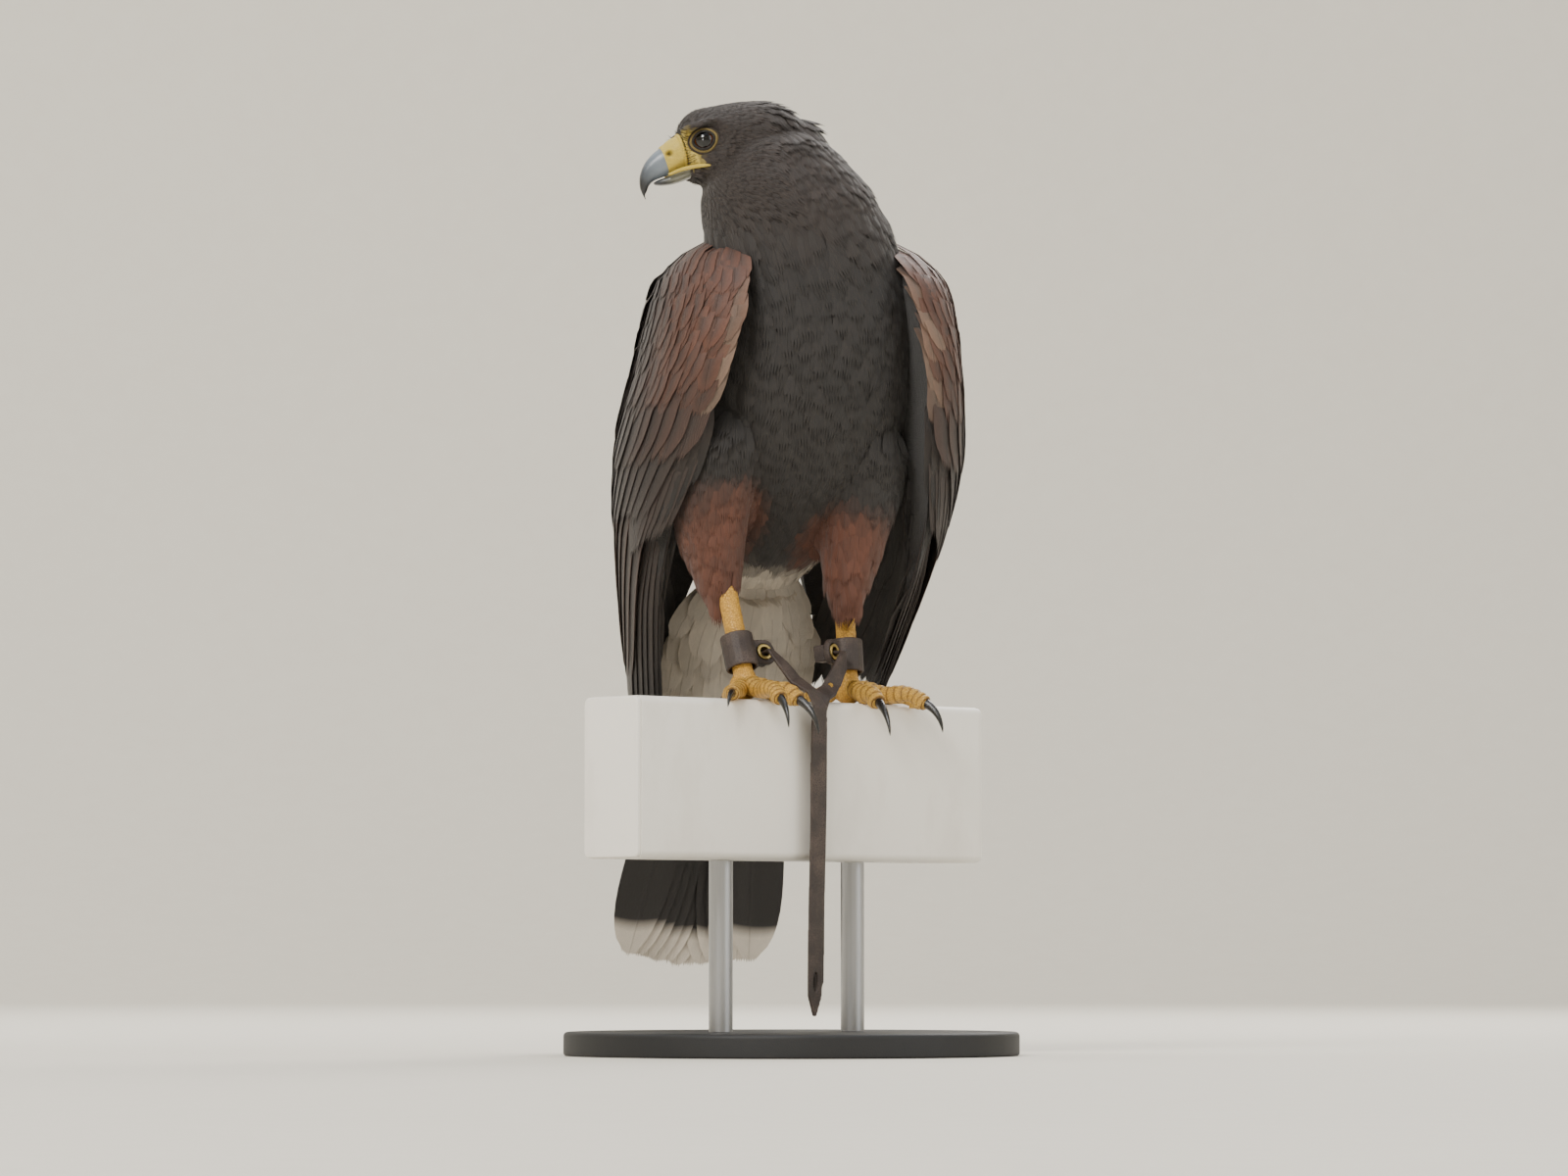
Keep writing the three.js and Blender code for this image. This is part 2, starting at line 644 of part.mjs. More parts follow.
function thighForm(side, grow = 0) {
  const x = sideSign[side];
  const heel = legs[side].heel;
  const backward = heel[1] * 0.35;
  const rows = [
    [30, 8 + backward * 0.3, 160, 18, 24],
    [36, 7 + backward * 0.3, 138, 27.5, 33],
    [40, 9 + backward * 0.7, 110, 26, 31],
    [39, 9 + backward, 86, 20.5, 25],
    [36.5, 7 + backward, 66, 14.5, 18.5],
    [35, 4 + backward, 54, 9.8, 12.5],
  ];
  return loft(
    rows.map(([out, y, z, halfWidth, halfDepth], i) => {
      const down = i === rows.length - 1 ? grow : 0;
      return oval(v3(x * out, y, z - down), v3(halfWidth + grow, 0, 0), v3(0, halfDepth + grow, 0), 12);
    }),
  );
}

// Long feathers hanging round the foot of the thigh.
const thighPlumes = 6;
function thighFeathers(side) {
  const draw = dice(side === "left" ? 19 : 23);
  const x = sideSign[side];
  const backward = legs[side].heel[1] * 0.35;
  const made = [];
  for (let i = 0; i < thighPlumes; i++) {
    const angle = degrees(-25 + i * 46);
    const outward = v3(x * Math.cos(angle), Math.sin(angle), 0);
    const drop = 30 + 5 * Math.sin(angle) + draw() * 4;
    const sideways = v3(-outward.y, outward.x, 0);
    const spot = (v, offset, h) => {
      const spread = lerp(11.5, 9 + Math.sin(angle), v) + h;
      const middle = v3(x * lerp(37, 35, v), lerp(8, 5.5, v) + backward, 74 - drop * v);
      return middle.addScaledVector(outward, spread).addScaledVector(sideways, offset);
    };
    made.push(vane(spot, 7, { rows: plumeRows, thickness: 1 }));
  }
  return made;
}

const shankRadius = 5.4;
function shankForm(side, grow = 0) {
  const [low, high] = [shankAt(side, -grow / 50), shankAt(side, 0.78)];
  const curve = new THREE.LineCurve3(low, high);
  const steps = 15;
  const shape = (t) => shankRadius + grow + 1.6 * ease(t, 0.75, 1) + 1.1 * (1 - ease(t, 0, 0.12));
  const plates = (t, k) => (t > 0.42 && k % 2 ? 0.11 : 0);
  return frontRidged(curve, steps, 9, shape, plates);
}

// A leg tube whose plates stand out on its front.
function frontRidged(curve, steps, sides, radiusAt, plateAt) {
  const ahead = curve.getTangentAt(0.5);
  const across = v3(0, 1, 0).cross(ahead).normalize();
  const back = ahead.clone().cross(across).normalize();
  return loft(
    Array.from({ length: steps + 1 }, (_, k) => {
      const t = k / steps;
      return Array.from({ length: sides }, (_, i) => {
        const angle = (i / sides) * Math.PI * 2;
        const radius = radiusAt(t) * (1 + plateAt(t, k) * Math.max(0, -Math.sin(angle)));
        return curve
          .getPointAt(t)
          .addScaledVector(across, Math.cos(angle) * radius * 0.94)
          .addScaledVector(back, Math.sin(angle) * radius);
      });
    }),
  );
}

// The toes: name, turn from the foot's heading (towards the midline is positive), length, claw length.
const toes = [
  { name: "inner", turn: 30, length: 34, claw: 24, radius: 4.6, plates: 4 },
  { name: "middle", turn: 0, length: 47, claw: 20, radius: 4.4, plates: 6 },
  { name: "outer", turn: -32, length: 36, claw: 17, radius: 4.1, plates: 5 },
  { name: "hind", turn: 176, length: 25, claw: 25, radius: 4.7, plates: 3 },
];

// The toe's line, and how far it runs before it bends over the rail's edge.
function toeLine(side, toe) {
  const turn = legs[side].heading + (side === "right" ? toe.turn : -toe.turn);
  const out = v3(Math.cos(degrees(turn)), Math.sin(degrees(turn)), 0);
  const towardsEdge = Math.abs(out.dot(railFront));
  const edge = rail.depth / 2 / Math.max(towardsEdge, 0.3);
  const over = Math.max(0, toe.length - edge);
  const bend = Math.min(over, 14) / 14;
  const flat = toe.radius * 0.86;
  const foot = footCentre(side);
  const place = (reach, z) => foot.clone().addScaledVector(out, reach).add(v3(0, 0, z));
  const points = [
    place(0, knuckle.up),
    place(8, flat + 3.4),
    place(toe.length * 0.5, flat + 0.8),
    place(toe.length * 0.8, flat + 0.6 * bend),
    place(toe.length, flat - 0.8 - 3.6 * bend),
  ];
  return { curve: new THREE.CatmullRomCurve3(points), out, place, flat, bend };
}

function toeForm(side, toe, grow = 0) {
  const { curve } = toeLine(side, toe);
  const steps = toe.plates + 4;
  const radius = (t) => grow + toe.radius * (1.12 - 0.34 * t) * (1 + 0.1 * Math.cos(t * toe.plates * 2.1));
  const plates = (t, k) => (k % 2 ? 0.13 : 0);
  return tube(curve, steps, 7, radius, plates);
}

function footForm(side) {
  const joint = ball(footCentre(side).add(v3(0, 0, knuckle.up)), knuckle.radius, 10, 6);
  return join([joint, ...toes.map((toe) => toeForm(side, toe))]);
}

// A claw: a tapering hook that curves down from the toe's end.
function clawForm(side, toe, grow = 0) {
  const { out, place, flat, bend } = toeLine(side, toe);
  const start = place(toe.length - 1.2, flat - 0.6 - 3.2 * bend);
  const startTurn = degrees(8 + 34 * bend);
  const sweep = degrees(bend > 0.2 ? 62 : 66);
  const arc = toe.claw / sweep;
  const rings = 6;
  const shape = [];
  for (let k = 0; k < rings; k++) {
    const t = k / rings;
    const angle = startTurn - degrees(20) + sweep * t;
    const begin = startTurn - degrees(20);
    const forward = arc * (Math.sin(angle) - Math.sin(begin));
    const down = arc * (Math.cos(begin) - Math.cos(angle));
    const centre = start.clone().addScaledVector(out, forward).add(v3(0, 0, -down));
    const ahead = out.clone().multiplyScalar(Math.cos(angle)).add(v3(0, 0, -Math.sin(angle)));
    if (k === 0) centre.addScaledVector(ahead, -grow);
    const across = v3(-out.y, out.x, 0);
    const upward = ahead.clone().cross(across);
    const radius = toe.radius * 0.62 * (1 - t) ** 0.8 + 0.35 + grow;
    shape.push(oval(centre, across.multiplyScalar(radius * 0.8), upward.multiplyScalar(radius), 7));
  }
  const begin = startTurn - degrees(20);
  const end = begin + sweep;
  const tip = start
    .clone()
    .addScaledVector(out, arc * (Math.sin(end) - Math.sin(begin)))
    .add(v3(0, 0, -arc * (Math.cos(begin) - Math.cos(end))));
  return loft([...shape, [tip]]);
}

// Leg equipment: a leather cuff with a tab, a metal ring through the tab, and a strap through the ring.
const cuff = { from: 0.06, to: 0.3, wall: 1.6, tab: 13, tabHeight: 13, tabWall: 3 };
const ring = { outer: 4.2, hole: 2.6, length: 4 };
const strap = { width: 9, wall: 1.7, neck: 3.6, knot: 6, slit: 10, slitWidth: 3.4 };

function cuffFrame(side) {
  const low = shankAt(side, cuff.from);
  const high = shankAt(side, cuff.to);
  const axis = high.clone().sub(low).normalize();
  const wanted = railAlong.clone().multiplyScalar(legs[side].strapSide).addScaledVector(railFront, 0.25);
  const out = wanted.addScaledVector(axis, -wanted.dot(axis)).normalize();
  return { low, high, axis, out, face: axis.clone().cross(out).normalize() };
}

function ringPlace(side) {
  const { low, high, out } = cuffFrame(side);
  return low.clone().lerp(high, 0.5).addScaledVector(out, shankRadius + 8.6);
}

function cuffForm(side) {
  const { low, high, axis, out, face } = cuffFrame(side);
  const height = low.distanceTo(high);
  const inner = shankRadius + 1.1 + gap;
  const outer = inner + cuff.wall;
  const profile = [
    [inner, -height / 2], [outer - 0.4, -height / 2], [outer, 0.5 - height / 2],
    [outer, height / 2 - 0.5], [outer - 0.4, height / 2], [inner, height / 2], [inner, -height / 2],
  ].map(([r, y]) => new THREE.Vector2(r, y));
  const middle = low.clone().lerp(high, 0.5);
  const basis = new THREE.Matrix4().makeBasis(out, axis, out.clone().cross(axis)).setPosition(middle);
  const band = solidOf(new THREE.LatheGeometry(profile, 15).applyMatrix4(basis));
  const tabShape = new THREE.Shape();
  const half = cuff.tabHeight / 2;
  const tabStart = shankRadius + 1.8;
  const tabRound = half * 0.7;
  const tabEnd = tabStart + cuff.tab - tabRound;
  tabShape.moveTo(tabStart, -half);
  tabShape.lineTo(tabEnd, -half);
  tabShape.absellipse(tabEnd, 0, tabRound, half, -Math.PI / 2, Math.PI / 2);
  tabShape.lineTo(tabStart, half);
  tabShape.closePath();
  const sheet = { depth: cuff.tabWall, bevelEnabled: false, curveSegments: 6 };
  const tab = new THREE.ExtrudeGeometry(tabShape, sheet);
  tab.translate(0, 0, -cuff.tabWall / 2);
  const placed = solidOf(tab.applyMatrix4(basis));
  const hole = ringTurned(side, 0, ring.outer + gap, 20);
  return cutFrom(join([band, placed]), [hole]);
}

// A disc or sleeve about the tab's hole.
function ringTurned(side, hole, outer, length) {
  const { face } = cuffFrame(side);
  const half = length / 2;
  const profile = hole
    ? [[hole, -half], [outer, -half], [outer, half], [hole, half], [hole, -half]]
    : [[0, -half], [outer, -half], [outer, half], [0, half]];
  const lathe = new THREE.LatheGeometry(profile.map(([r, y]) => new THREE.Vector2(r, y)), 13);
  const turn = new THREE.Quaternion().setFromUnitVectors(v3(0, 1, 0), face);
  const centre = ringPlace(side);
  return solidOf(lathe.applyQuaternion(turn).translate(centre.x, centre.y, centre.z));
}

// The strap's line: through the ring, over the rail's front edge, then straight down.
const strapRoutes = {
  right: { drop: strapDrop, along: -8, away: 6.4 },
  left: { drop: strapDrop - 7, along: -3, away: 2.6 },
};

function strapLine(side) {
  const { face } = cuffFrame(side);
  const towards = face.dot(railFront) > 0 ? face.clone() : face.clone().negate();
  const start = ringPlace(side);
  const { drop, along, away } = strapRoutes[side];
  const edge = rail.depth / 2;
  const place = (reach, out, z) =>
    railAlong.clone().multiplyScalar(reach).addScaledVector(railFront, out).add(v3(0, 0, z));
  const from = start.clone().addScaledVector(towards, -ring.length / 2 - 1.5);
  const near = start.clone().addScaledVector(towards, ring.length / 2 + 4.5).add(v3(0, 0, -1));
  const startAlong = start.dot(railAlong);
  const points = [
    from,
    near,
    place(lerp(startAlong, along, 0.55), edge - 4 + away * 0.3, 5.5 + away * 0.55),
    place(along, edge + away + 1.5, 0.5 + away * 0.2),
    place(along, edge + away + 1.2, -14),
    place(along, edge + away + 0.6, -drop * 0.4),
    place(along - 1, edge + away + 0.2, -drop * 0.7),
    place(along - 1.5, edge + away, -drop),
  ];
  return { curve: new THREE.CatmullRomCurve3(points), towards, from };
}

function strapForm(side) {
  const { curve, towards, from } = strapLine(side);
  const steps = 20;
  const total = curve.getLength();
  const tipLength = 11;
  const rings = Array.from({ length: steps + 1 }, (_, k) => {
    const t = k / steps;
    const reach = t * total;
    const ahead = curve.getTangentAt(t);
    const flatness = ease(reach, 9, 27);
    const wide = lerp(strap.neck, strap.width, flatness) / 2;
    const taper = ease(total - reach, -0.5, tipLength);
    const across = railAlong.clone().addScaledVector(ahead, -ahead.dot(railAlong)).normalize();
    const over = ahead.clone().cross(across).normalize().multiplyScalar(strap.wall / 2);
    across.multiplyScalar(Math.max(wide * taper, 0.8));
    const p = curve.getPointAt(t);
    return [
      p.clone().add(across).add(over),
      p.clone().sub(across).add(over),
      p.clone().sub(across).sub(over),
      p.clone().add(across).sub(over),
    ];
  });
  const knotAcross = towards.clone().cross(v3(0, 0, 1)).normalize();
  const knotUp = knotAcross.clone().cross(towards);
  const knotPlace = from.clone().addScaledVector(towards, 1 - strap.knot / 2);
  const basis = new THREE.Matrix4().makeBasis(knotAcross, towards, knotUp).setPosition(knotPlace);
  const button = solidOf(new THREE.BoxGeometry(8, strap.knot, 8.5).applyMatrix4(basis));
  const flat = new THREE.Matrix4().makeBasis(railAlong, railFront.clone().negate(), v3(0, 0, 1));
  const punch = new THREE.CylinderGeometry(strap.slitWidth / 2, strap.slitWidth / 2, 12, 12);
  const stretched = punch.scale(1, 1, strap.slit / strap.slitWidth);
  const hole = solidOf(stretched.applyMatrix4(flat.setPosition(curve.getPointAt(1 - 17 / total))));
  return cutFrom(join([loft(rings), button]), [hole]);
}

// The perch and the stand

function railForm(grow = 0) {
  const { halfLength, depth, height, corner } = rail;
  const shape = new THREE.Shape();
  const [w, h, r] = [depth / 2 + grow, height / 2 + grow, corner];
  shape.moveTo(-w + r, -h);
  shape.lineTo(w - r, -h);
  shape.absarc(w - r, -h + r, r, -Math.PI / 2, 0);
  shape.lineTo(w, h - r);
  shape.absarc(w - r, h - r, r, 0, Math.PI / 2);
  shape.lineTo(-w + r, h);
  shape.absarc(-w + r, h - r, r, Math.PI / 2, Math.PI);
  shape.lineTo(-w, -h + r);
  shape.absarc(-w + r, -h + r, r, Math.PI, Math.PI * 1.5);
  const length = { depth: 2 * halfLength, bevelEnabled: false, curveSegments: 4 };
  const bar = new THREE.ExtrudeGeometry(shape, length);
  return bar.translate(0, 0, -halfLength).applyMatrix4(railBasis(rail.shift));
}

function railBasis(along) {
  const centre = railAlong.clone().multiplyScalar(along).add(v3(0, 0, -rail.height / 2));
  const upward = v3(0, 0, 1);
  const basis = new THREE.Matrix4().makeBasis(railFront, upward, railFront.clone().cross(upward));
  return basis.setPosition(centre);
}

function capForm(end) {
  const cap = new THREE.BoxGeometry(rail.depth - 1, rail.height - 1, capThickness);
  const along = rail.shift + end * (rail.halfLength + gap + capThickness / 2);
  return solidOf(cap.applyMatrix4(railBasis(along)));
}

function baseForm() {
  const { radius, thickness, chamfer } = base;
  const edge = [[radius - 1, 0], [radius, 1], [radius, thickness - chamfer], [radius - chamfer, thickness]];
  const profile = [[0, 0], ...edge, [0, thickness]];
  const lathe = new THREE.LatheGeometry(profile.map(([r, y]) => new THREE.Vector2(r, y)), 40);
  return solidOf(lathe.rotateX(Math.PI / 2).translate(0, 0, -perchTop));
}

function rodForm(end) {
  const low = base.thickness - perchTop + gap;
  const high = -rail.height - gap;
  const place = railAlong.clone().multiplyScalar(end * rodSpread + rail.shift);
  const rod = new THREE.CylinderGeometry(rodRadius, rodRadius, high - low, 20).rotateX(Math.PI / 2);
  return solidOf(rod.translate(place.x, place.y, (low + high) / 2));
}

// Assembly

function buildHawk() {
  const group = new THREE.Group();
  group.position.z = perchTop;
  const add = (name, solid, finish, metalness) => group.add(node(name, solid, finish, metalness));

  const railSolid = solidOf(railForm());
  const railRoom = solidOf(railForm(gap));
  const skullRoom = skullForm(gap);
  const torso = bodyLength(torsoKeys);
  const bodyRoom = bodyLength([...torsoKeys, ...neckKeys], gap);
  add("torso", torso, paint.body);
  add("neck", cutFrom(bodyLength(neckKeys), [skullRoom]), paint.body);

  const sides = ["right", "left"];
  const eyeRooms = sides.map((side) => ball(eyeCentre(side), eyeRadius + gap));
  const skull = join([skullForm(), ...sides.map(lidRim), ...sides.map(brow)]);
  add("head", cutFrom(skull, [...eyeRooms, mouthCut()]), paint.body);
  add("cere", cereForm(), paint.cere);
  add("bill_upper", upperBillForm(), paint.bill);
  add("bill_lower", lowerBillForm(), paint.bill);

  const tailSolid = tailForm();
  add("tail", cutFrom(tailSolid, [bodyRoom]), paint.tail);

  for (const side of sides) {
    add(`eye_${side}`, ball(eyeCentre(side), eyeRadius), paint.eye);
    const shankRoom = shankForm(side, gap + 0.1);
    const plumes = thighFeathers(side).map((feather) => feather.subtract(shankRoom));
    const thigh = join([thighForm(side), ...plumes]);
    add(`thigh_${side}`, cutFrom(thigh, [bodyRoom]), paint.thigh);
    const thighRoom = thighForm(side, gap);
    const foot = footForm(side);
    const claws = toes.map((toe) => clawForm(side, toe));
    const clawRooms = toes.map((toe) => clawForm(side, toe, gap));
    const shank = cutFrom(shankForm(side), [thighRoom]);
    const footRoom = ball(footCentre(side).add(v3(0, 0, knuckle.up)), knuckle.radius + 2 * gap, 10, 6);
    const toeRooms = toes.map((toe) => toeForm(side, toe, 3 * gap));
    add(`shank_${side}`, cutFrom(shank, [footRoom, ...toeRooms]), paint.skin);
    add(`foot_${side}`, cutFrom(foot, [railRoom, ...clawRooms]), paint.skin);
    toes.forEach((toe, i) => add(`claw_${side}_${toe.name}`, cutFrom(claws[i], [railRoom]), paint.claw));
    add(`anklet_${side}`, cuffForm(side), paint.leather);
    add(`anklet_ring_${side}`, ringTurned(side, ring.hole, ring.outer, ring.length), paint.metal, 1);
    add(`jess_${side}`, strapForm(side), paint.leather);

    const draw = dice(side === "left" ? 11 : 37);
    const feathers = tiers.flatMap((tier) => tierFeathers(tier, draw));
    const folded = join([wingCore(), ...feathers]).trimByPlane([1, 0, 0], gap / 2);
    const wing = (side === "left" ? folded : mirrored(folded)).translate([trunkSway, 0, 0]);
    add(`wing_${side}`, cutFrom(wing, [bodyRoom, thighRoom, railRoom]), paint.wing);
  }

  add("perch_rail", railSolid, paint.rail);
  add("perch_cap_right", capForm(-1), paint.rail);
  add("perch_cap_left", capForm(1), paint.rail);
  add("stand_base", baseForm(), paint.stand);
  add("stand_rod_right", rodForm(-1), paint.steel, 1);
  add("stand_rod_left", rodForm(1), paint.steel, 1);
  return group;
}

export default buildHawk();
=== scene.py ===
# A life-size Harris's hawk on a short length of rail, held by a plain disc stand
import math
import random
from functools import lru_cache

import bpy
import numpy as np
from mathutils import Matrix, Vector


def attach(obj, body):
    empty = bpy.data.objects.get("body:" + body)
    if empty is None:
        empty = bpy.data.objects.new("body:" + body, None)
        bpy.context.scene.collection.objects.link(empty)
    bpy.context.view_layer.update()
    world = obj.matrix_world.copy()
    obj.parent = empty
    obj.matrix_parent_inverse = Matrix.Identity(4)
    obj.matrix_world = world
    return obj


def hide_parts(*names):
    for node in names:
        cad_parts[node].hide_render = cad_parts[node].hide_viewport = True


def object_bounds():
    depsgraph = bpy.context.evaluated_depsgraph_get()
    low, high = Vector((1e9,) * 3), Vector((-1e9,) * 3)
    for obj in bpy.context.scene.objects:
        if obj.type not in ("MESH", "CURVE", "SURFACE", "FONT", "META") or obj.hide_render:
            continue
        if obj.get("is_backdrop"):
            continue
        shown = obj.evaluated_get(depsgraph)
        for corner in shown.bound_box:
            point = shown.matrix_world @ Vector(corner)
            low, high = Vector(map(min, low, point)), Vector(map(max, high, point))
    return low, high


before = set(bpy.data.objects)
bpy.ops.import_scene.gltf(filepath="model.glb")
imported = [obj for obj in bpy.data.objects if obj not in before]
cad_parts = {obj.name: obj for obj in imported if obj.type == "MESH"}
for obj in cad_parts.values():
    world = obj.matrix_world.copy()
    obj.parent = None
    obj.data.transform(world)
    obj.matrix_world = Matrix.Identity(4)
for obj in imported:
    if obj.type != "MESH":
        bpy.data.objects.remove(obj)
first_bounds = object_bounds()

# Camera: the photograph's direction and distance, with a longer lens, just above the floor

CAMERA_TURN = -18.0
CAMERA_DISTANCE = 3.3
CAMERA_HEIGHT = 0.05
CAMERA_LENS = 150.0
AIM = Vector((-0.004, 0.0, 0.236))

camera_data = bpy.data.cameras.new("camera")
camera = bpy.data.objects.new("camera", camera_data)
bpy.context.scene.collection.objects.link(camera)
bpy.context.scene.camera = camera
camera_data.lens = CAMERA_LENS
camera_data.sensor_width = 36.0
camera_data.clip_start = 0.05
camera_data.clip_end = 60.0
turn = math.radians(CAMERA_TURN)
camera.location = (
    AIM.x + CAMERA_DISTANCE * math.sin(turn), AIM.y - CAMERA_DISTANCE * math.cos(turn), CAMERA_HEIGHT)
camera.rotation_mode = "QUATERNION"
camera.rotation_quaternion = (AIM - camera.location).to_track_quat("-Z", "Y")

# Sizes shared with the solids, in millimetres above the rail's top

MM = 0.001
PERCH_TOP = 178.0
RAIL_TURN = math.radians(25.8)
RAIL_HEIGHT, RAIL_DEPTH, RAIL_HALF_LENGTH, RAIL_SHIFT = 80.0, 40.0, 118.0, -3.0
RAIL_CORNER = 4.0
CAP_THICKNESS = 2.5
BASE_RADIUS, BASE_THICKNESS = 115.0, 12.0
ROD_RADIUS, ROD_SPREAD = 6.0, 46.0
GAP = 0.3
RAIL_ALONG = np.array([math.cos(RAIL_TURN), math.sin(RAIL_TURN), 0.0])
RAIL_FRONT = np.array([math.sin(RAIL_TURN), -math.cos(RAIL_TURN), 0.0])
ACROSS, DEPTH, UP = np.eye(3)

HEAD_TURN, HEAD_PITCH = math.radians(99), math.radians(17)
HEAD_ROOT = np.array([-13.0, -8.0, 282.6])
EYE_RADIUS = 6.6
EYE_PLACE = (34.5, 12.6, 10.4)
TRUNK_SWAY = 6.0
SIDE_SIGN = {"right": -1.0, "left": 1.0}

# Fineness: the skin's grain and the leather's, and the share of the map that each small feather has

SKIN_GRAIN, LEATHER_GRAIN, EYELET_GRAIN = 1.15, 0.45, 0.3
FEATHER_PATCH = 0.003
COAT_TRIES, BRISTLE_TRIES = 160000, 200000

rng = np.random.default_rng(7)


# Small tools

def unit(v):
    v = np.asarray(v, float)
    return v / np.maximum(np.linalg.norm(v, axis=-1, keepdims=True), 1e-9)


def mix(a, b, t):
    return a + (b - a) * t


def ease(x, low, high):
    t = np.clip((np.asarray(x, float) - low) / (high - low), 0.0, 1.0)
    return t * t * (3 - 2 * t)


def track(rows):
    """A smooth curve through stations: rows of (key, value, value, ...) with rising keys."""
    rows = np.array(rows, float)
    keys, values = rows[:, 0], rows[:, 1:]
    slopes = np.empty_like(values)
    for i in range(len(keys)):
        a, b = max(i - 1, 0), min(i + 1, len(keys) - 1)
        slopes[i] = (values[b] - values[a]) / (keys[b] - keys[a])

    def at(key):
        i = int(np.clip(np.searchsorted(keys, key, side="right") - 1, 0, len(keys) - 2))
        span = keys[i + 1] - keys[i]
        t = min(max((key - keys[i]) / span, 0.0), 1.0)
        return (
            (2 * t**3 - 3 * t**2 + 1) * values[i] + (t**3 - 2 * t**2 + t) * span * slopes[i]
            + (3 * t**2 - 2 * t**3) * values[i + 1] + (t**3 - t**2) * span * slopes[i + 1])

    return at


def linear(colour):
    """A hex colour as linear light."""
    channels = [int(colour[i:i + 2], 16) / 255 for i in (1, 3, 5)]
    return [c / 12.92 if c <= 0.04045 else ((c + 0.055) / 1.055) ** 2.4 for c in channels]


def shade(*colours):
    return [np.array(linear(c)) for c in colours]


def read(data, key, width, kind=float):
    """Values of a mesh's points, corners or triangles, a row for each."""
    values = np.empty(len(data) * width, np.int32 if kind is int else np.float32)
    data.foreach_get(key, values)
    return values.reshape(-1, width).astype(kind)


def add_object(name, data):
    made = bpy.data.objects.new(name, data)
    bpy.context.scene.collection.objects.link(made)
    return made


def smooth_faces(mesh):
    mesh.polygons.foreach_set("use_smooth", np.ones(len(mesh.polygons), bool))


def colour_points(mesh, tint):
    """Keeps each point's own colour in the mesh, where the materials read it."""
    layer = mesh.color_attributes.new("tint", "FLOAT_COLOR", "POINT")
    rows = np.concatenate([tint, np.ones((len(tint), 1))], 1)
    layer.data.foreach_set("color", rows.astype(np.float32).ravel())


class Mesh:
    """Points, faces and their maps, gathered piece by piece and made into one object."""

    def __init__(self):
        self.points, self.faces, self.bake, self.vane, self.tint = [], [], [], [], []
        self.count = 0

    def add(self, points, faces, tint=(0.5, 0.5, 0.5), vane=None, bake=None):
        points = np.asarray(points, float)
        n = len(points)
        self.points.append(points)
        self.faces.extend([tuple(int(k) + self.count for k in face) for face in faces])
        self.tint.append(np.broadcast_to(np.asarray(tint, float), (n, 3)))
        self.vane.append(np.zeros((n, 2)) if vane is None else np.asarray(vane, float))
        self.bake.append(np.full((n, 2), np.nan) if bake is None else np.asarray(bake, float))
        self.count += n

    def build(self, name, material, nodes, slot, sharp=50):
        """The object itself. A piece with no bake places of its own is unwrapped by its shape."""
        points = np.concatenate(self.points) * MM
        points[:, 2] += PERCH_TOP * MM
        mesh = bpy.data.meshes.new(name)
        mesh.from_pydata(points.tolist(), [], self.faces)
        mesh.validate()
        corners = read(mesh.loops, "vertex_index", 1, int).ravel()
        bake, vane = np.concatenate(self.bake), np.concatenate(self.vane)
        own_bake = not np.isnan(bake).any()
        layer = mesh.uv_layers.new(name="OFBake")
        if own_bake:
            layer.data.foreach_set("uv", bake[corners].astype(np.float32).ravel())
        layer = mesh.uv_layers.new(name="Vane")
        layer.data.foreach_set("uv", vane[corners].astype(np.float32).ravel())
        colour_points(mesh, np.concatenate(self.tint))
        smooth_faces(mesh)
        mesh.set_sharp_from_angle(angle=math.radians(sharp))
        mesh.update()
        made = add_object(name, mesh)
        if not own_bake:
            unwrap(made)
        return finish_piece(made, material, nodes, slot)


def unwrap(made):
    """An unwrap of the piece's own shape, in its OFBake map."""
    bpy.ops.object.select_all(action="DESELECT")
    made.select_set(True)
    bpy.context.view_layer.objects.active = made
    made.data.uv_layers["OFBake"].active = True
    bpy.ops.object.mode_set(mode="EDIT")
    bpy.ops.mesh.select_all(action="SELECT")
    bpy.ops.uv.smart_project(angle_limit=math.radians(66), island_margin=0.002)
    bpy.ops.object.mode_set(mode="OBJECT")


def finish_piece(made, material, nodes, slot):
    made.data.materials.clear()
    made.data.materials.append(material)
    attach(made, "root")
    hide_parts(*nodes)
    return made


def remeshed(made, grain, factor, times):
    """Makes an object's solids one skin with faces of that grain, in millimetres, and smooths it."""
    remesh = made.modifiers.new("remesh", "REMESH")
    remesh.mode = "VOXEL"
    remesh.voxel_size = grain * MM
    smooth = made.modifiers.new("smooth", "SMOOTH")
    smooth.factor, smooth.iterations = factor, times
    graph = bpy.context.evaluated_depsgraph_get()
    mesh = bpy.data.meshes.new_from_object(made.evaluated_get(graph))
    made.modifiers.clear()
    made.data = mesh
    smooth_faces(mesh)
    return mesh


def skin_faces(rings, sides):
    """Quads over rings of points, with a face over each end."""
    faces = []
    for k in range(rings - 1):
        for i in range(sides):
            j = (i + 1) % sides
            faces.append((k * sides + i, k * sides + j, (k + 1) * sides + j, (k + 1) * sides + i))
    faces.append(tuple(range(sides - 1, -1, -1)))
    faces.append(tuple((rings - 1) * sides + i for i in range(sides)))
    return faces


def oval(centre, across, upward, count, squareness=1.0):
    """A ring of points. A squareness below 1 fills its corners out."""
    angles = np.arange(count) * math.tau / count
    c, s = (np.sign(f) * np.abs(f) ** squareness for f in (np.cos(angles), np.sin(angles)))
    return centre + np.outer(c, across) + np.outer(s, upward)


def egg(centre, ahead, across, upward, angles, sides):
    """Rings of an egg shape, at angles from the end that ahead points to."""
    return [oval(centre + ahead * math.cos(a), across * math.sin(a), upward * math.sin(a), sides)
            for a in angles]


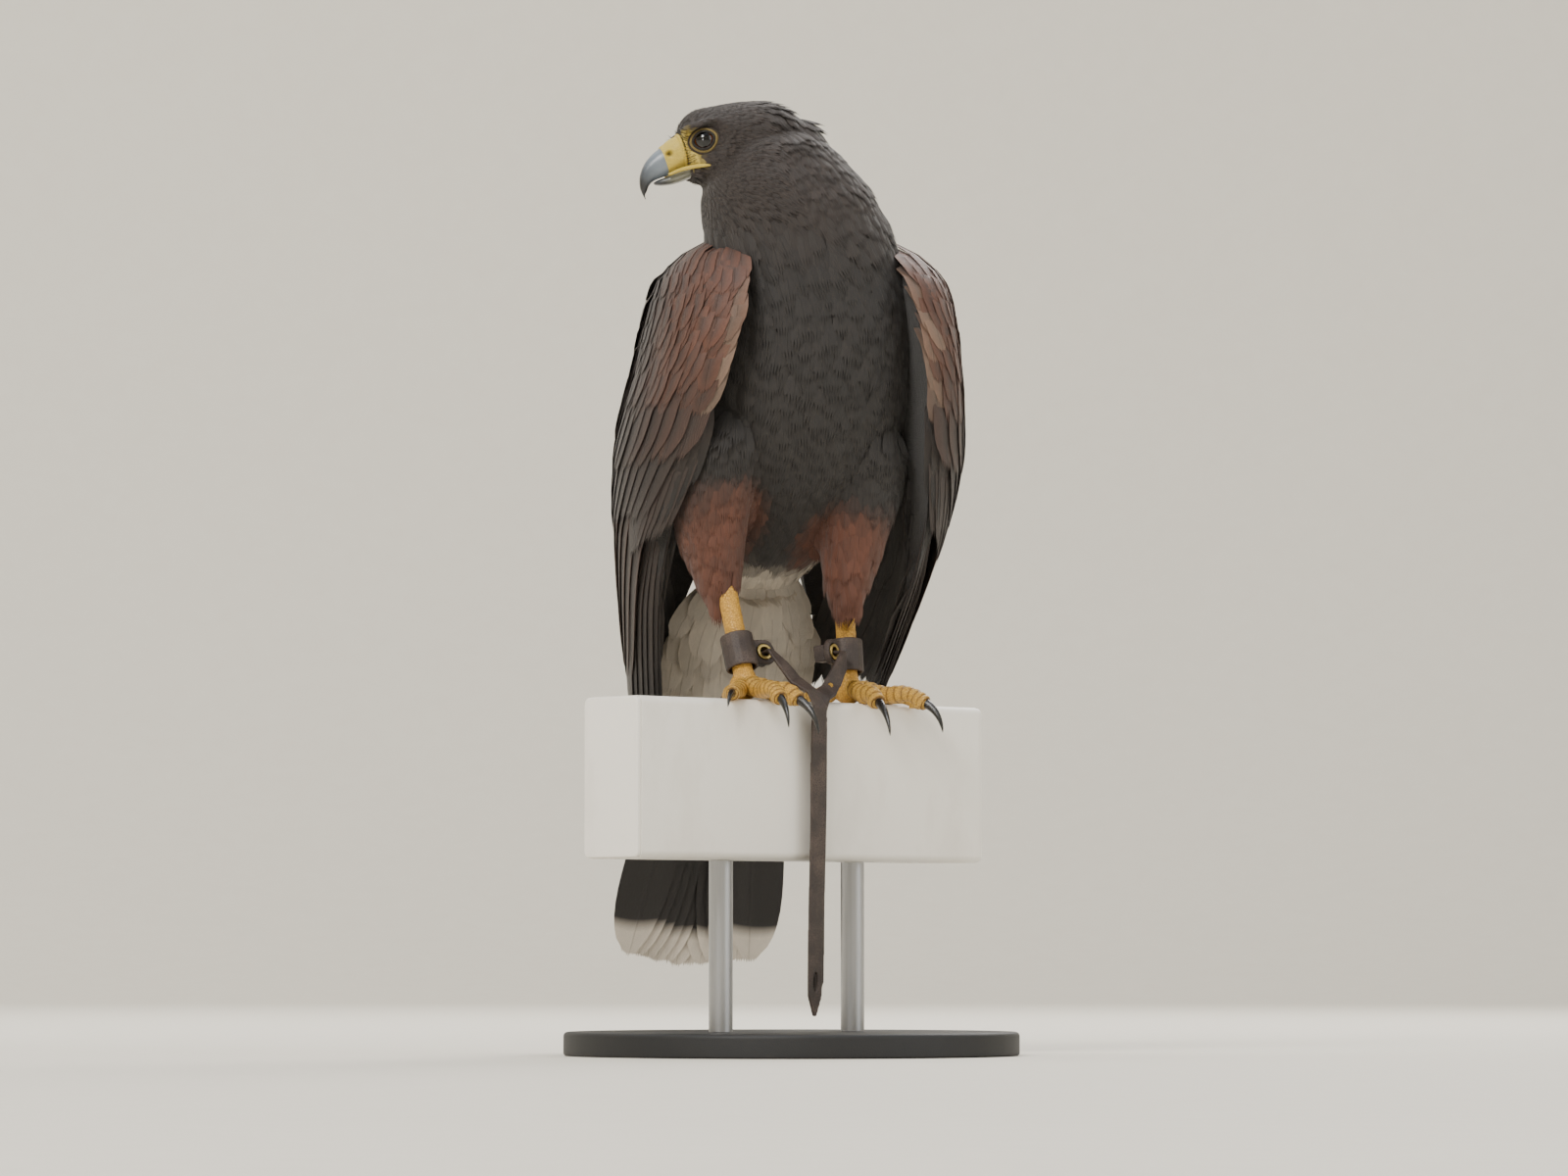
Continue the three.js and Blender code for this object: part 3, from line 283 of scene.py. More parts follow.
def spline(points, count):
    """Points evenly spread in parameter along a smooth curve through the given ones."""
    points = np.asarray(points, float)
    padded = np.vstack([2 * points[0] - points[1], points, 2 * points[-1] - points[-2]])
    out = []
    for t in np.linspace(0, len(points) - 1, count):
        i = min(int(t), len(points) - 2)
        u = t - i
        a, b, c, d = padded[i:i + 4]
        out.append(0.5 * ((2 * b) + (c - a) * u + (2 * a - 5 * b + 4 * c - d) * u * u
                          + (3 * b - a - 3 * c + d) * u**3))
    return np.array(out)


def sweep(path, radius, sides, squash=1.0, upright=UP):
    """Rings round a path. radius(t, angle) is in millimetres, with angle 90 degrees at the top."""
    count = len(path)
    tangents = unit(np.gradient(path, axis=0))
    rings = []
    for k in range(count):
        ahead = tangents[k]
        across = unit(np.cross(ahead, upright))
        top = unit(np.cross(across, ahead))
        for i in range(sides):
            angle = 2 * math.pi * i / sides
            r = radius(k / (count - 1), angle)
            rings.append(path[k] + across * math.cos(angle) * r * squash + top * math.sin(angle) * r)
    return np.array(rings)


# Materials

def finish(name, recipe, *choices):
    """A material. Its recipe adds the nodes it needs and gives the surface's values."""
    made = bpy.data.materials.new(name)
    made.use_nodes = True
    tree = made.node_tree
    tree.nodes.clear()

    def node(kind, inputs=(), **settings):
        """A node with its settings and links. An input takes a value or another node's output."""
        added = tree.nodes.new("ShaderNode" + kind)
        for key, value in settings.items():
            setattr(added, key, value)
        for key, value in dict(inputs).items():
            if isinstance(value, bpy.types.NodeSocket):
                tree.links.new(value, added.inputs[key])
            else:
                added.inputs[key].default_value = value
        return added.outputs

    node("OutputMaterial", {"Surface": node("BsdfPrincipled", recipe(node, *choices))[0]})
    return made


def rgb(colour):
    return (*linear(colour), 1.0)


def per_metre(size):
    """The scale of a pattern whose marks are that many millimetres across."""
    return 1.0 / (size * MM)


def feather_vane(node, length, barb_spacing, roughness, rim_light, sheen=0.12):
    """Barbs zipped into a vane: a combed, silky surface with a dark shaft and paler rims.

    Real barbs lie about 0.3 mm apart, too fine to show, so these are drawn 1 to 2 mm apart.
    """
    tint = node("Attribute", attribute_name="tint")["Color"]
    where = node("TexCoord")["Object"]
    u, v, _ = node("SeparateXYZ", {0: node("UVMap", uv_map="Vane")[0]})
    offset = node("Math", {0: u, 1: 0.5}, operation="SUBTRACT")[0]
    from_shaft = node("Math", {0: offset}, operation="ABSOLUTE")[0]
    wave = node("TexNoise", {
        "Vector": where, "Scale": per_metre(1.11), "Detail": 2.0, "Roughness": 0.55})[0]
    slant = node("Math", {0: from_shaft, 1: -0.55, 2: v}, operation="MULTIPLY_ADD")[0]
    slant = node("Math", {0: wave, 1: 0.02, 2: slant}, operation="MULTIPLY_ADD")[0]
    turns = node("Math", {0: slant, 1: math.tau * length / barb_spacing}, operation="MULTIPLY")[0]
    barbs = node("Math", {0: turns}, operation="SINE")[0]
    barbs = node("Math", {0: barbs, 1: 0.5, 2: 0.5}, operation="MULTIPLY_ADD")[0]
    shaft = node("MapRange", {0: from_shaft, 1: 0.0, 2: 0.035, 3: 1.0, 4: 0.0},
                 interpolation_type="SMOOTHSTEP")[0]
    rim = node("MapRange", {0: from_shaft, 1: 0.3, 2: 0.5, 3: 0.0, 4: rim_light},
               interpolation_type="SMOOTHSTEP")[0]
    mottle = node("TexNoise", {
        "Vector": where, "Scale": per_metre(3.846), "Detail": 3.0, "Roughness": 0.55})[0]
    mottle = node("Math", {0: mottle, 1: 0.35}, operation="MULTIPLY")[0]
    core = node("Math", {0: shaft, 1: 0.75}, operation="MULTIPLY")[0]
    dark, light = (node("Mix", {0: 1.0, 6: tint, 7: change}, data_type="RGBA", blend_type="MULTIPLY")[2]
                   for change in ((0.62, 0.6, 0.58, 1.0), (1.32, 1.26, 1.2, 1.0)))
    base = dark
    for share, colour in ((barbs, tint), (mottle, light), (rim, light), (core, dark)):
        base = node("Mix", {0: share, 6: base, 7: colour}, data_type="RGBA")[2]
    height = node("Math", {0: barbs, 1: 0.35, 2: shaft}, operation="MULTIPLY_ADD")[0]
    normal = node("Bump", {"Height": height, "Distance": 0.25 * MM, "Strength": 0.8})[0]
    return {"Base Color": base, "Normal": normal, "Roughness": roughness, "IOR": 1.54,
            "Sheen Weight": sheen, "Sheen Roughness": 0.5}


def loose_down(node):
    """Unzipped down between the feathers: dull and soft, with a fine grain and no gloss."""
    tint = node("Attribute", attribute_name="tint")["Color"]
    grain = node("TexNoise", {
        "Vector": node("TexCoord")["Object"], "Scale": per_metre(0.714), "Detail": 4.0, "Roughness": 0.55})[0]
    dark = node("Mix", {0: 1.0, 6: tint, 7: (0.55, 0.52, 0.5, 1.0)},
                data_type="RGBA", blend_type="MULTIPLY")[2]
    base = node("Mix", {0: grain, 6: dark, 7: tint}, data_type="RGBA")[2]
    normal = node("Bump", {"Height": grain, "Distance": 0.6 * MM})[0]
    return {"Base Color": base, "Normal": normal, "Roughness": 0.9, "IOR": 1.5, "Sheen Weight": 0.2}


def horn(node, base_colour, tip_colour, start, end, roughness):
    """Horn grown in layers: smooth with a low gloss, dark toward its point, finely streaked along."""
    vane = node("UVMap", uv_map="Vane")[0]
    cloud = node("TexNoise", {
        "Vector": node("TexCoord")["Object"], "Scale": per_metre(3.846), "Detail": 5.0, "Roughness": 0.55})[0]
    along = node("SeparateXYZ", {0: vane})[1]
    clouding = 0.16
    reach = node("Math", {0: cloud, 1: clouding, 2: along}, operation="MULTIPLY_ADD")[0]
    fade = node("MapRange", {0: reach, 1: start + clouding / 2, 2: end + clouding / 2},
                interpolation_type="SMOOTHSTEP")[0]
    streaked = node("Mapping", {"Vector": vane, "Scale": (14.0, 1.4, 1.0)})[0]
    streaks = node("TexNoise", {"Vector": streaked, "Scale": 28.0, "Detail": 4.0, "Roughness": 0.55})[0]
    share = node("Math", {0: streaks, 1: 0.4}, operation="MULTIPLY")[0]
    base = node("Mix", {0: fade, 6: rgb(base_colour), 7: rgb(tip_colour)}, data_type="RGBA")[2]
    base = node("Mix", {0: share, 6: base, 7: rgb(tip_colour)}, data_type="RGBA")[2]
    normal = node("Bump", {"Height": streaks, "Distance": 0.12 * MM, "Strength": 0.5})[0]
    return {"Base Color": base, "Normal": normal, "Roughness": roughness, "IOR": 1.55,
            "Coat Weight": 0.25, "Coat Roughness": 0.2}


def wet_eye(node):
    """A living eye: a clear wet front that mirrors the light over a dark brown iris and a black pupil."""
    vane = node("UVMap", uv_map="Vane")[0]
    reach = node("SeparateXYZ", {0: vane})[1]
    rayed = node("Mapping", {"Vector": vane, "Scale": (60.0, 5.0, 1.0)})[0]
    spokes = node("TexNoise", {"Vector": rayed, "Scale": 1.0, "Detail": 3.0, "Roughness": 0.55})[0]
    iris = node("Mix", {0: spokes, 6: rgb("#2e160b"), 7: rgb("#7a4622")}, data_type="RGBA")[2]
    ring = node("MapRange", {0: reach, 1: 0.42, 2: 0.52}, interpolation_type="SMOOTHSTEP")[0]
    iris = node("Mix", {0: ring, 6: iris, 7: rgb("#120904")}, data_type="RGBA")[2]
    pupil = node("MapRange", {0: reach, 1: 0.205, 2: 0.235})[0]
    base = node("Mix", {0: pupil, 6: rgb("#020202"), 7: iris}, data_type="RGBA")[2]
    return {"Base Color": base, "Roughness": 0.06, "IOR": 1.38,
            "Coat Weight": 1.0, "Coat Roughness": 0.02, "Coat IOR": 1.38}


def bare_skin(node, roughness, scale_size, depth):
    """Living skin in small scales: a soft shine, light that seeps in a little, and darker seams."""
    where = node("TexCoord")["Object"]
    tint = node("Attribute", attribute_name="tint")["Color"]
    cells = node("TexVoronoi", {"Vector": where, "Scale": per_metre(scale_size)},
                 feature="DISTANCE_TO_EDGE")[0]
    seams = node("MapRange", {0: cells, 1: 0.0, 2: 0.16, 3: 0.0, 4: 1.0})[0]
    patches = node("TexNoise", {
        "Vector": where, "Scale": per_metre(6.25), "Detail": 5.0, "Roughness": 0.55})[0]
    dark, light = (node("Mix", {0: 1.0, 6: tint, 7: change}, data_type="RGBA", blend_type="MULTIPLY")[2]
                   for change in ((0.62, 0.55, 0.45, 1.0), (1.12, 1.1, 1.06, 1.0)))
    base = node("Mix", {0: patches, 6: tint, 7: light}, data_type="RGBA")[2]
    base = node("Mix", {0: seams, 6: dark, 7: base}, data_type="RGBA")[2]
    height = node("Math", {0: patches, 1: 0.6, 2: seams}, operation="MULTIPLY_ADD")[0]
    normal = node("Bump", {"Height": height, "Distance": depth * MM, "Strength": 0.7})[0]
    return {"Base Color": base, "Normal": normal, "Roughness": roughness, "IOR": 1.45,
            "Subsurface Weight": 0.06, "Subsurface Scale": 1.5 * MM, "Subsurface Radius": (1.0, 0.6, 0.3)}


def greased_leather(node):
    """Hide cut into straps and greased: dark with fine pores, paler and duller where it has rubbed."""
    where = node("TexCoord")["Object"]
    pores = node("TexVoronoi", {"Vector": where, "Scale": per_metre(0.625)})[0]
    worn = node("TexNoise", {
        "Vector": where, "Scale": per_metre(14.29), "Detail": 6.0, "Roughness": 0.55})[0]
    wear = node("MapRange", {0: worn, 1: 0.42, 2: 0.72})[0]
    base = node("Mix", {0: wear, 6: rgb("#3b302b"), 7: rgb("#6a5a50")}, data_type="RGBA")[2]
    base = node("Mix", {0: pores, 6: base, 7: rgb("#2a211d")}, data_type="RGBA")[2]
    roughness = node("MapRange", {0: worn, 3: 0.42, 4: 0.72})[0]
    height = node("Math", {0: pores, 1: worn}, operation="ADD")[0]
    normal = node("Bump", {"Height": height, "Distance": 0.25 * MM, "Strength": 0.6})[0]
    return {"Base Color": base, "Normal": normal, "Roughness": roughness, "IOR": 1.5}


def bare_metal(node, colour, roughness, grain_stretch=1.0):
    """Bare metal, handled or brushed: bright, with a fine grain that breaks the shine up.

    A stretch below 1 draws the grain out along the upright rods, as a brush leaves it.
    """
    stretched = node("Mapping", {
        "Vector": node("TexCoord")["Object"], "Scale": (1.0, 1.0, grain_stretch)})[0]
    grain = node("TexNoise", {
        "Vector": stretched, "Scale": per_metre(1.11), "Detail": 4.0, "Roughness": 0.55})[0]
    share = node("Math", {0: grain, 1: 0.3}, operation="MULTIPLY")[0]
    base = node("Mix", {0: share, 6: rgb(colour), 7: rgb("#55524d")}, data_type="RGBA")[2]
    patchy = node("MapRange", {0: grain, 3: roughness, 4: roughness + 0.2})[0]
    normal = node("Bump", {"Height": grain, "Distance": 0.04 * MM, "Strength": 0.4})[0]
    return {"Base Color": base, "Normal": normal, "Roughness": patchy, "Metallic": 1.0}


def sprayed_paint(node, colour, dirt, roughness, peel_size, depth):
    """Sprayed paint on steel: an even satin with a faint peel, stained in patches drawn out downward."""
    where = node("TexCoord")["Object"]
    peel = node("TexNoise", {
        "Vector": where, "Scale": per_metre(peel_size), "Detail": 3.0, "Roughness": 0.55})[0]
    runs = node("Mapping", {"Vector": where, "Scale": (1.0, 1.0, 0.45)})[0]
    stains = node("TexNoise", {
        "Vector": runs, "Scale": per_metre(45.45), "Detail": 7.0, "Roughness": 0.62})[0]
    stained = node("MapRange", {0: stains, 1: 0.5, 2: 0.8, 3: 0.0, 4: 0.55})[0]
    base = node("Mix", {0: stained, 6: rgb(colour), 7: rgb(dirt)}, data_type="RGBA")[2]
    patchy = node("MapRange", {0: stains, 3: roughness, 4: roughness + 0.18})[0]
    normal = node("Bump", {"Height": peel, "Distance": depth * MM, "Strength": 0.5})[0]
    return {"Base Color": base, "Normal": normal, "Roughness": patchy, "IOR": 1.5}


def matt_card(node):
    """Pulp card for a floor and backdrop: pale and without shine, barely mottled."""
    grain = node("TexNoise", {
        "Vector": node("TexCoord")["Object"], "Scale": per_metre(25), "Detail": 4.0, "Roughness": 0.55})[0]
    base = node("Mix", {0: grain, 6: rgb("#d8d2c5"), 7: rgb("#ddd8cc")}, data_type="RGBA")[2]
    return {"Base Color": base, "Roughness": 0.7, "IOR": 1.45}


# The body's forms, as in the solids

spine = track([
    [0, 2, 81, 66, 26, 15], [1, 2, 67, 83, 36, 24], [2, 3, 46, 106, 48, 36], [3, 5, 26, 134, 57, 46],
    [4, TRUNK_SWAY, 12, 164, 61, 51], [5, TRUNK_SWAY, 2, 194, 59, 50], [6, 2, -5, 221, 54, 45],
    [7, -4, -8, 240, 48.5, 41], [8, -9.5, -8, 256, 43, 37], [9, -13.5, -7, 270, 36, 32],
    [10, -17, -6, 283, 26.5, 25], [11, -20, -6, 294, 11, 11],
])
SPINE_KEYS = np.linspace(0, 11, 111)
SPINE_CENTRES = np.array([spine(k)[:3] for k in SPINE_KEYS])
SPINE_TAILWARD = -unit(np.gradient(SPINE_CENTRES, axis=0))

head_forward = np.array([-math.sin(HEAD_TURN), -math.cos(HEAD_TURN), 0.0])
head_side = np.array([-head_forward[1], head_forward[0], 0.0])
head_forward = head_forward * math.cos(HEAD_PITCH) - UP * math.sin(HEAD_PITCH)
head_up = np.cross(head_forward, head_side)


def on_head(forward, side, up):
    return HEAD_ROOT + head_forward * forward + head_side * side + head_up * up


def in_head(points):
    """Points as forward, side and up in the head's frame."""
    away = np.asarray(points) - HEAD_ROOT
    return np.stack([away @ head_forward, away @ head_side, away @ head_up], -1)


def eye_centre(side):
    return on_head(EYE_PLACE[0], SIDE_SIGN[side] * EYE_PLACE[1], EYE_PLACE[2])


LEGS = {
    "right": {"along": -33.0, "heel": np.array([-36.0, 12.0, 82.0]), "heading": -85.0},
    "left": {"along": 40.0, "heel": np.array([37.0, 31.0, 82.0]), "heading": -52.0},
}
ANKLE, KNUCKLE_UP, KNUCKLE = 12.0, 7.4, 7.4
SHANK_RADIUS = 5.4


def foot_centre(side):
    return RAIL_ALONG * LEGS[side]["along"]


def shank_at(side, t):
    return mix(foot_centre(side) + UP * ANKLE, LEGS[side]["heel"], t)


# Plumage colours

DARK, WARM, CHESTNUT, RUFOUS, WHITE, PALE_LINE = shade(
    "#1f1b19", "#2f2520", "#56301f", "#5f3a29", "#cfc6b8", "#8f7c6b")
LORE, LID = shade("#cdb75a", "#4d4231")


def near_thigh(points, narrow, wide):
    """How much a point belongs to a thigh, from 0 to 1."""
    share = np.zeros(len(points))
    for side, sign in SIDE_SIGN.items():
        x, y = points[:, 0] - sign * 36.0, points[:, 1] - LEGS[side]["heel"][1] * 0.35 - 8
        share = np.maximum(share, 1 - ease(np.hypot(x, y * 0.8), narrow, wide))
    return share


def above_neck(points):
    return ease(points[:, 2], 225, 245)


def near_eye(points, inner, outer):
    """How near a point of the head is to an eye, from 0 to 1, reaching further before it than behind."""
    head = in_head(points)
    away = np.stack([head[:, 0] - EYE_PLACE[0] - 1.5, np.abs(head[:, 1]) - EYE_PLACE[1] - 4,
                     head[:, 2] - EYE_PLACE[2]], -1)
    return (1 - ease(np.linalg.norm(away, axis=1), inner, outer)) * above_neck(points)


def lore(points):
    """How much a point belongs to the bare skin between the eye and the bill, from 0 to 1."""
    head = in_head(points)
    front = ease(head[:, 0], 39.0, 41.5)
    level = np.abs(head[:, 2] - mix(6.0, 8.5, ease(head[:, 0], 38, 45)))
    return front * (1 - ease(level, 7.5, 10.5)) * above_neck(points)


def body_tint(points, normals):
    """The plumage's colour at points on the body, in millimetres above the rail."""
    x, y, z = points.T
    tint = np.broadcast_to(DARK, (len(x), 3)).copy()

    def toward(colour, amount):
        nonlocal tint
        amount = np.clip(np.asarray(amount, float), 0, 1)[:, None]
        tint = tint * (1 - amount) + colour * amount

    toward(WARM, 0.75 * ease(z, 212, 262))
    toward(WARM, 0.35 * ease(y, 10, 50) * ease(z, 120, 160))
    thigh = near_thigh(points, 19, 29)
    thigh *= 1 - ease(z, np.where(x > 0, 92, 106), np.where(x > 0, 112, 126))
    toward(CHESTNUT, thigh)
    vent = ease(y, 30, 56) * (1 - ease(z, 88, 116)) * (normals[:, 2] < 0.35)
    rump = ease(y, 66, 84) * (1 - ease(z, 88, 112))
    toward(WHITE, 0.95 * np.maximum(vent, rump) * (1 - near_thigh(points, 22, 30)))
    toward(LORE, 0.95 * lore(points))
    return tint


skull = track([
    [-18, 3.2, 4, 5], [-14, 3.8, 11.5, 12.5], [-4, 3.4, 18.6, 18.4], [10, 3.6, 21.8, 22.2],
    [24, 4.3, 22.6, 22.9], [34, 6, 21.2, 20], [40.5, 6.9, 17.9, 15.8], [45.2, 7, 13.6, 12.2],
])


def flesh():
    """Lofts and lumps of the body, as lists of points and faces that a remesh makes one skin of."""
    parts = []

    def loft(rings):
        parts.append((np.concatenate(rings), skin_faces(len(rings), len(rings[0]))))

    def lump(centre, size):
        angles = (np.arange(14) + 0.5) * math.pi / 14
        loft(egg(centre, head_forward * size[0], head_side * size[1], head_up * size[2], angles, 24))

    rings = []
    for key in np.linspace(0, 11, 56):
        x, y, z, half_width, half_depth = spine(key)
        ahead = unit(spine(min(key + 0.05, 11))[:3] - spine(max(key - 0.05, 0))[:3])
        across = unit(ACROSS - ahead * ahead[0])
        through = np.cross(ahead, across)
        rings.append(oval(np.array([x, y, z]), across * half_width, through * half_depth, 64, 0.92))
    loft(rings)
    rings = []
    for forward in np.linspace(-18, 45.2, 36):
        middle, half_height, half_width = skull(forward)
        centre = on_head(forward, 0, middle)
        rings.append(oval(centre, head_side * half_width, head_up * half_height, 48, 0.9))
    loft(rings)
    lump(on_head(-12, 0, -3), (15, 16.5, 15))
    for sign in (1, -1):
        lump(on_head(34.8, sign * 16.5, 17.9), (12.8, 4.5, 3.1))
        lump(on_head(21, sign * 13.5, -3.5), (15, 9.8, 11.5))
        lump(on_head(39.5, sign * 9.5, -4.5), (8, 3.6, 3.4))
    for side, sign in SIDE_SIGN.items():
        back = LEGS[side]["heel"][1] * 0.35
        rows = track([
            [0, 30, 8 + back * 0.3, 160, 18, 24], [1, 36, 7 + back * 0.3, 138, 27.5, 33],
            [2, 40, 9 + back * 0.7, 110, 26, 31], [3, 39, 9 + back, 86, 20.5, 25],
            [4, 36.5, 7 + back, 66, 14.5, 18.5], [5, 35, 4 + back, 52, 9.4, 11.5],
        ])
        rings = []
        for key in np.linspace(0, 5, 30):
            out, y, z, half_width, half_depth = rows(key)
            centre = np.array([sign * out, y, z])
            rings.append(oval(centre, ACROSS * half_width, DEPTH * half_depth, 40))
        loft(rings[::-1])
    return parts


def body_skin():
    """One skin over the head, neck, trunk and thighs, smoothed and drawn in by the coat's depth."""
    points, faces, count = [], [], 0
    for own, own_faces in flesh():
        points.append(own)
        faces.extend([tuple(v + count for v in face) for face in own_faces])
        count += len(own)
    points = np.concatenate(points)
    rough = bpy.data.meshes.new("skin_rough")
    rough.from_pydata(((points + UP * PERCH_TOP) * MM).tolist(), [], faces)
    made = add_object("skin", rough)
    mesh = remeshed(made, SKIN_GRAIN, 0.6, 6)
    where, facing = read(mesh.vertices, "co", 3), read(mesh.vertices, "normal", 3)
    local = where / MM - UP * PERCH_TOP
    where -= facing * coat_depth(local)[:, None] * MM
    mesh.vertices.foreach_set("co", where.astype(np.float32).ravel())
    colour_points(mesh, body_tint(local, facing))
    mesh.uv_layers.new(name="OFBake")
    mesh.uv_layers.new(name="Vane")
    mesh.update()
    unwrap(made)
    return made


def bare_lores(skin, material):
    """The bare yellow skin before the eyes: the skin's own faces there, raised a little."""
    mesh = skin.data
    local = read(mesh.vertices, "co", 3) / MM - UP * PERCH_TOP
    share = np.maximum(lore(local), 0.9 * near_eye(local, 4.6, 6.0))
    local += read(mesh.vertices, "normal", 3) * (ease(share, 0.2, 0.7) * 0.5 - 0.15)[:, None]
    faces = [tuple(p.vertices) for p in mesh.polygons if min(share[v] for v in p.vertices) > 0.1]
    used = sorted({v for face in faces for v in face})
    new = {v: i for i, v in enumerate(used)}
    piece = Mesh()
    dull = mix(LID, LORE, lore(local[used])[:, None])
    piece.add(local[used], [tuple(new[v] for v in face) for face in faces], tint=dull)
    piece.build("lores", material, ["head"], "cere", sharp=80)


def coat_depth(local):
    """How far the feathers stand off the skin, in millimetres, at points above the rail."""
    height = local[:, 2]
    head = in_head(local)
    on_face = ease(head[:, 0], -18, 20) * ease(height, 235, 262)
    depth = mix(3.6, 2.4, ease(height, 225, 262))
    depth = mix(depth, 2.4, 1 - ease(height, 60, 110))
    above = np.maximum(head[:, 2] - EYE_PLACE[2], 0)
    ring = np.hypot(head[:, 0] - EYE_PLACE[0] + 0.8, head[:, 2] - EYE_PLACE[2] + 0.35 * above)
    socket = (1 - ease(ring, 6.0, 12.0)) * ease(np.abs(head[:, 1]), 8, 12) * ease(height, 235, 255)
    return mix(depth, 0.6, on_face) + 2.5 * socket


def along_surface(flow, normals):
    """The part of a flow that runs in the surface."""
    return unit(flow - normals * np.sum(flow * normals, axis=1, keepdims=True))


def lie(points, normals):
    """The direction the feathers point in, along the body from the bill to the tail and the toes."""
    nearest = np.argmin(np.linalg.norm(points[:, None, :] - SPINE_CENTRES[None], axis=2), axis=1)
    flow = SPINE_TAILWARD[nearest].copy()
    head = in_head(points)
    on_head_part = ease(head[:, 0], -6, 14) * ease(points[:, 2], 232, 252)
    backward = -head_forward * 0.93 - head_up * 0.3
    cheeks = ease(-head[:, 2], -2, 10)[:, None]
    backward = backward[None] * (1 - 0.3 * cheeks) - UP * 0.3 * cheeks
    flow = mix(flow, backward, on_head_part[:, None])
    leg = near_thigh(points, 27, 40) * (1 - ease(points[:, 2], 110, 150))
    down = np.array([0.0, 0.12, -1.0])
    flow = mix(flow, down, leg[:, None])
    return along_surface(flow, normals), on_head_part, leg


# Contour feathers: copies of one small closed vane, placed in numbers over the skin

def outline_end(u, start, power):
    """Where a rounded tip's outline ends, a share u of the half width from its middle."""
    return start + (1 - start) * max(0.0, 1 - u * u) ** (1 / power)


def vane_faces(rows, columns):
    """Faces of a closed vane, whose end is cut into one point for each column.

    Its points are the rows of its upper side, then those of its lower side, then the end's points.
    """
    n, last = columns + 1, rows - 1
    top = lambda r, c: r * n + c
    low = lambda r, c: rows * n + r * n + c
    faces = []
    for r in range(last):
        for c in range(columns):
            faces.append((top(r, c), top(r, c + 1), top(r + 1, c + 1), top(r + 1, c)))
            faces.append((low(r, c), low(r + 1, c), low(r + 1, c + 1), low(r, c + 1)))
        faces.append((top(r, 0), top(r + 1, 0), low(r + 1, 0), low(r, 0)))
        faces.append((top(r, columns), low(r, columns), low(r + 1, columns), top(r + 1, columns)))
    for c in range(columns):
        faces.append((top(0, c), low(0, c), low(0, c + 1), top(0, c + 1)))
        end = (top(last, c), top(last, c + 1), low(last, c + 1), low(last, c))
        tip = 2 * rows * n + c
        faces += [(end[a], end[b], tip) for a, b in ((0, 1), (2, 3), (3, 0), (1, 2))]
    return faces


def plume_template(rows, columns, thickness, body=0.62):
    """A small closed vane with a pointed end. Each point: across, along, up, then its map."""
    draw = random.Random(3)
    points = []
    for face in (1, -1):
        for r in range(rows):
            v = body * r / (rows - 1)
            spread = min(1.0, 0.42 + 1.9 * v)
            for c in range(columns + 1):
                u = 2 * c / columns - 1
                points.append((u * spread, v, face * thickness * (0.5 - 0.25 * v), u, v))
    for c in range(columns):
        u = (2 * c + 1) / columns - 1 + draw.uniform(-0.5, 0.5) / columns
        end = outline_end(u, body - 0.05, 2.2) - draw.uniform(0, 0.09)
        points.append((u * 0.86, end, 0.0, u, end))
    return np.array(points), vane_faces(rows, columns)


def scatter(skin, spacing_at, keep, candidates):
    """Even random places on the skin: points, normals and map places, in millimetres above the rail."""
    mesh = skin.data
    mesh.calc_loop_triangles()
    corners = read(mesh.loop_triangles, "vertices", 3, int)
    loops = read(mesh.loop_triangles, "loops", 3, int)
    where = read(mesh.vertices, "co", 3) / MM - UP * PERCH_TOP
    facing = read(mesh.vertices, "normal", 3)
    maps = read(mesh.uv_layers["OFBake"].data, "uv", 2)
    a, b, c = (where[corners[:, i]] for i in range(3))
    area = np.linalg.norm(np.cross(b - a, c - a), axis=1)
    chosen = rng.choice(len(corners), candidates, p=area / area.sum())
    r1, r2 = np.sqrt(rng.random(candidates)), rng.random(candidates)
    weights = np.stack([1 - r1, r1 * (1 - r2), r1 * r2], 1)
    points = np.einsum("ij,ijk->ik", weights, where[corners[chosen]])
    normals = unit(np.einsum("ij,ijk->ik", weights, facing[corners[chosen]]))
    places = np.einsum("ij,ijk->ik", weights, maps[loops[chosen]])
    allowed = keep(points, normals)
    spacing = spacing_at(points)
    cell = 3.0
    grid, kept = {}, []
    for i in np.flatnonzero(allowed):
        p, s = points[i], spacing[i]
        x, y, z = (p // cell).astype(int)
        reach = math.ceil(s / cell)
        steps = range(-reach, reach + 1)
        near = (q for dx in steps for dy in steps for dz in steps
                for q in grid.get((x + dx, y + dy, z + dz), ()))
        if any((p[0] - q[0]) ** 2 + (p[1] - q[1]) ** 2 + (p[2] - q[2]) ** 2 < s * s for q in near):
            continue
        grid.setdefault((x, y, z), []).append(p)
        kept.append(i)
    kept = np.array(kept)
    return points[kept], normals[kept], places[kept]


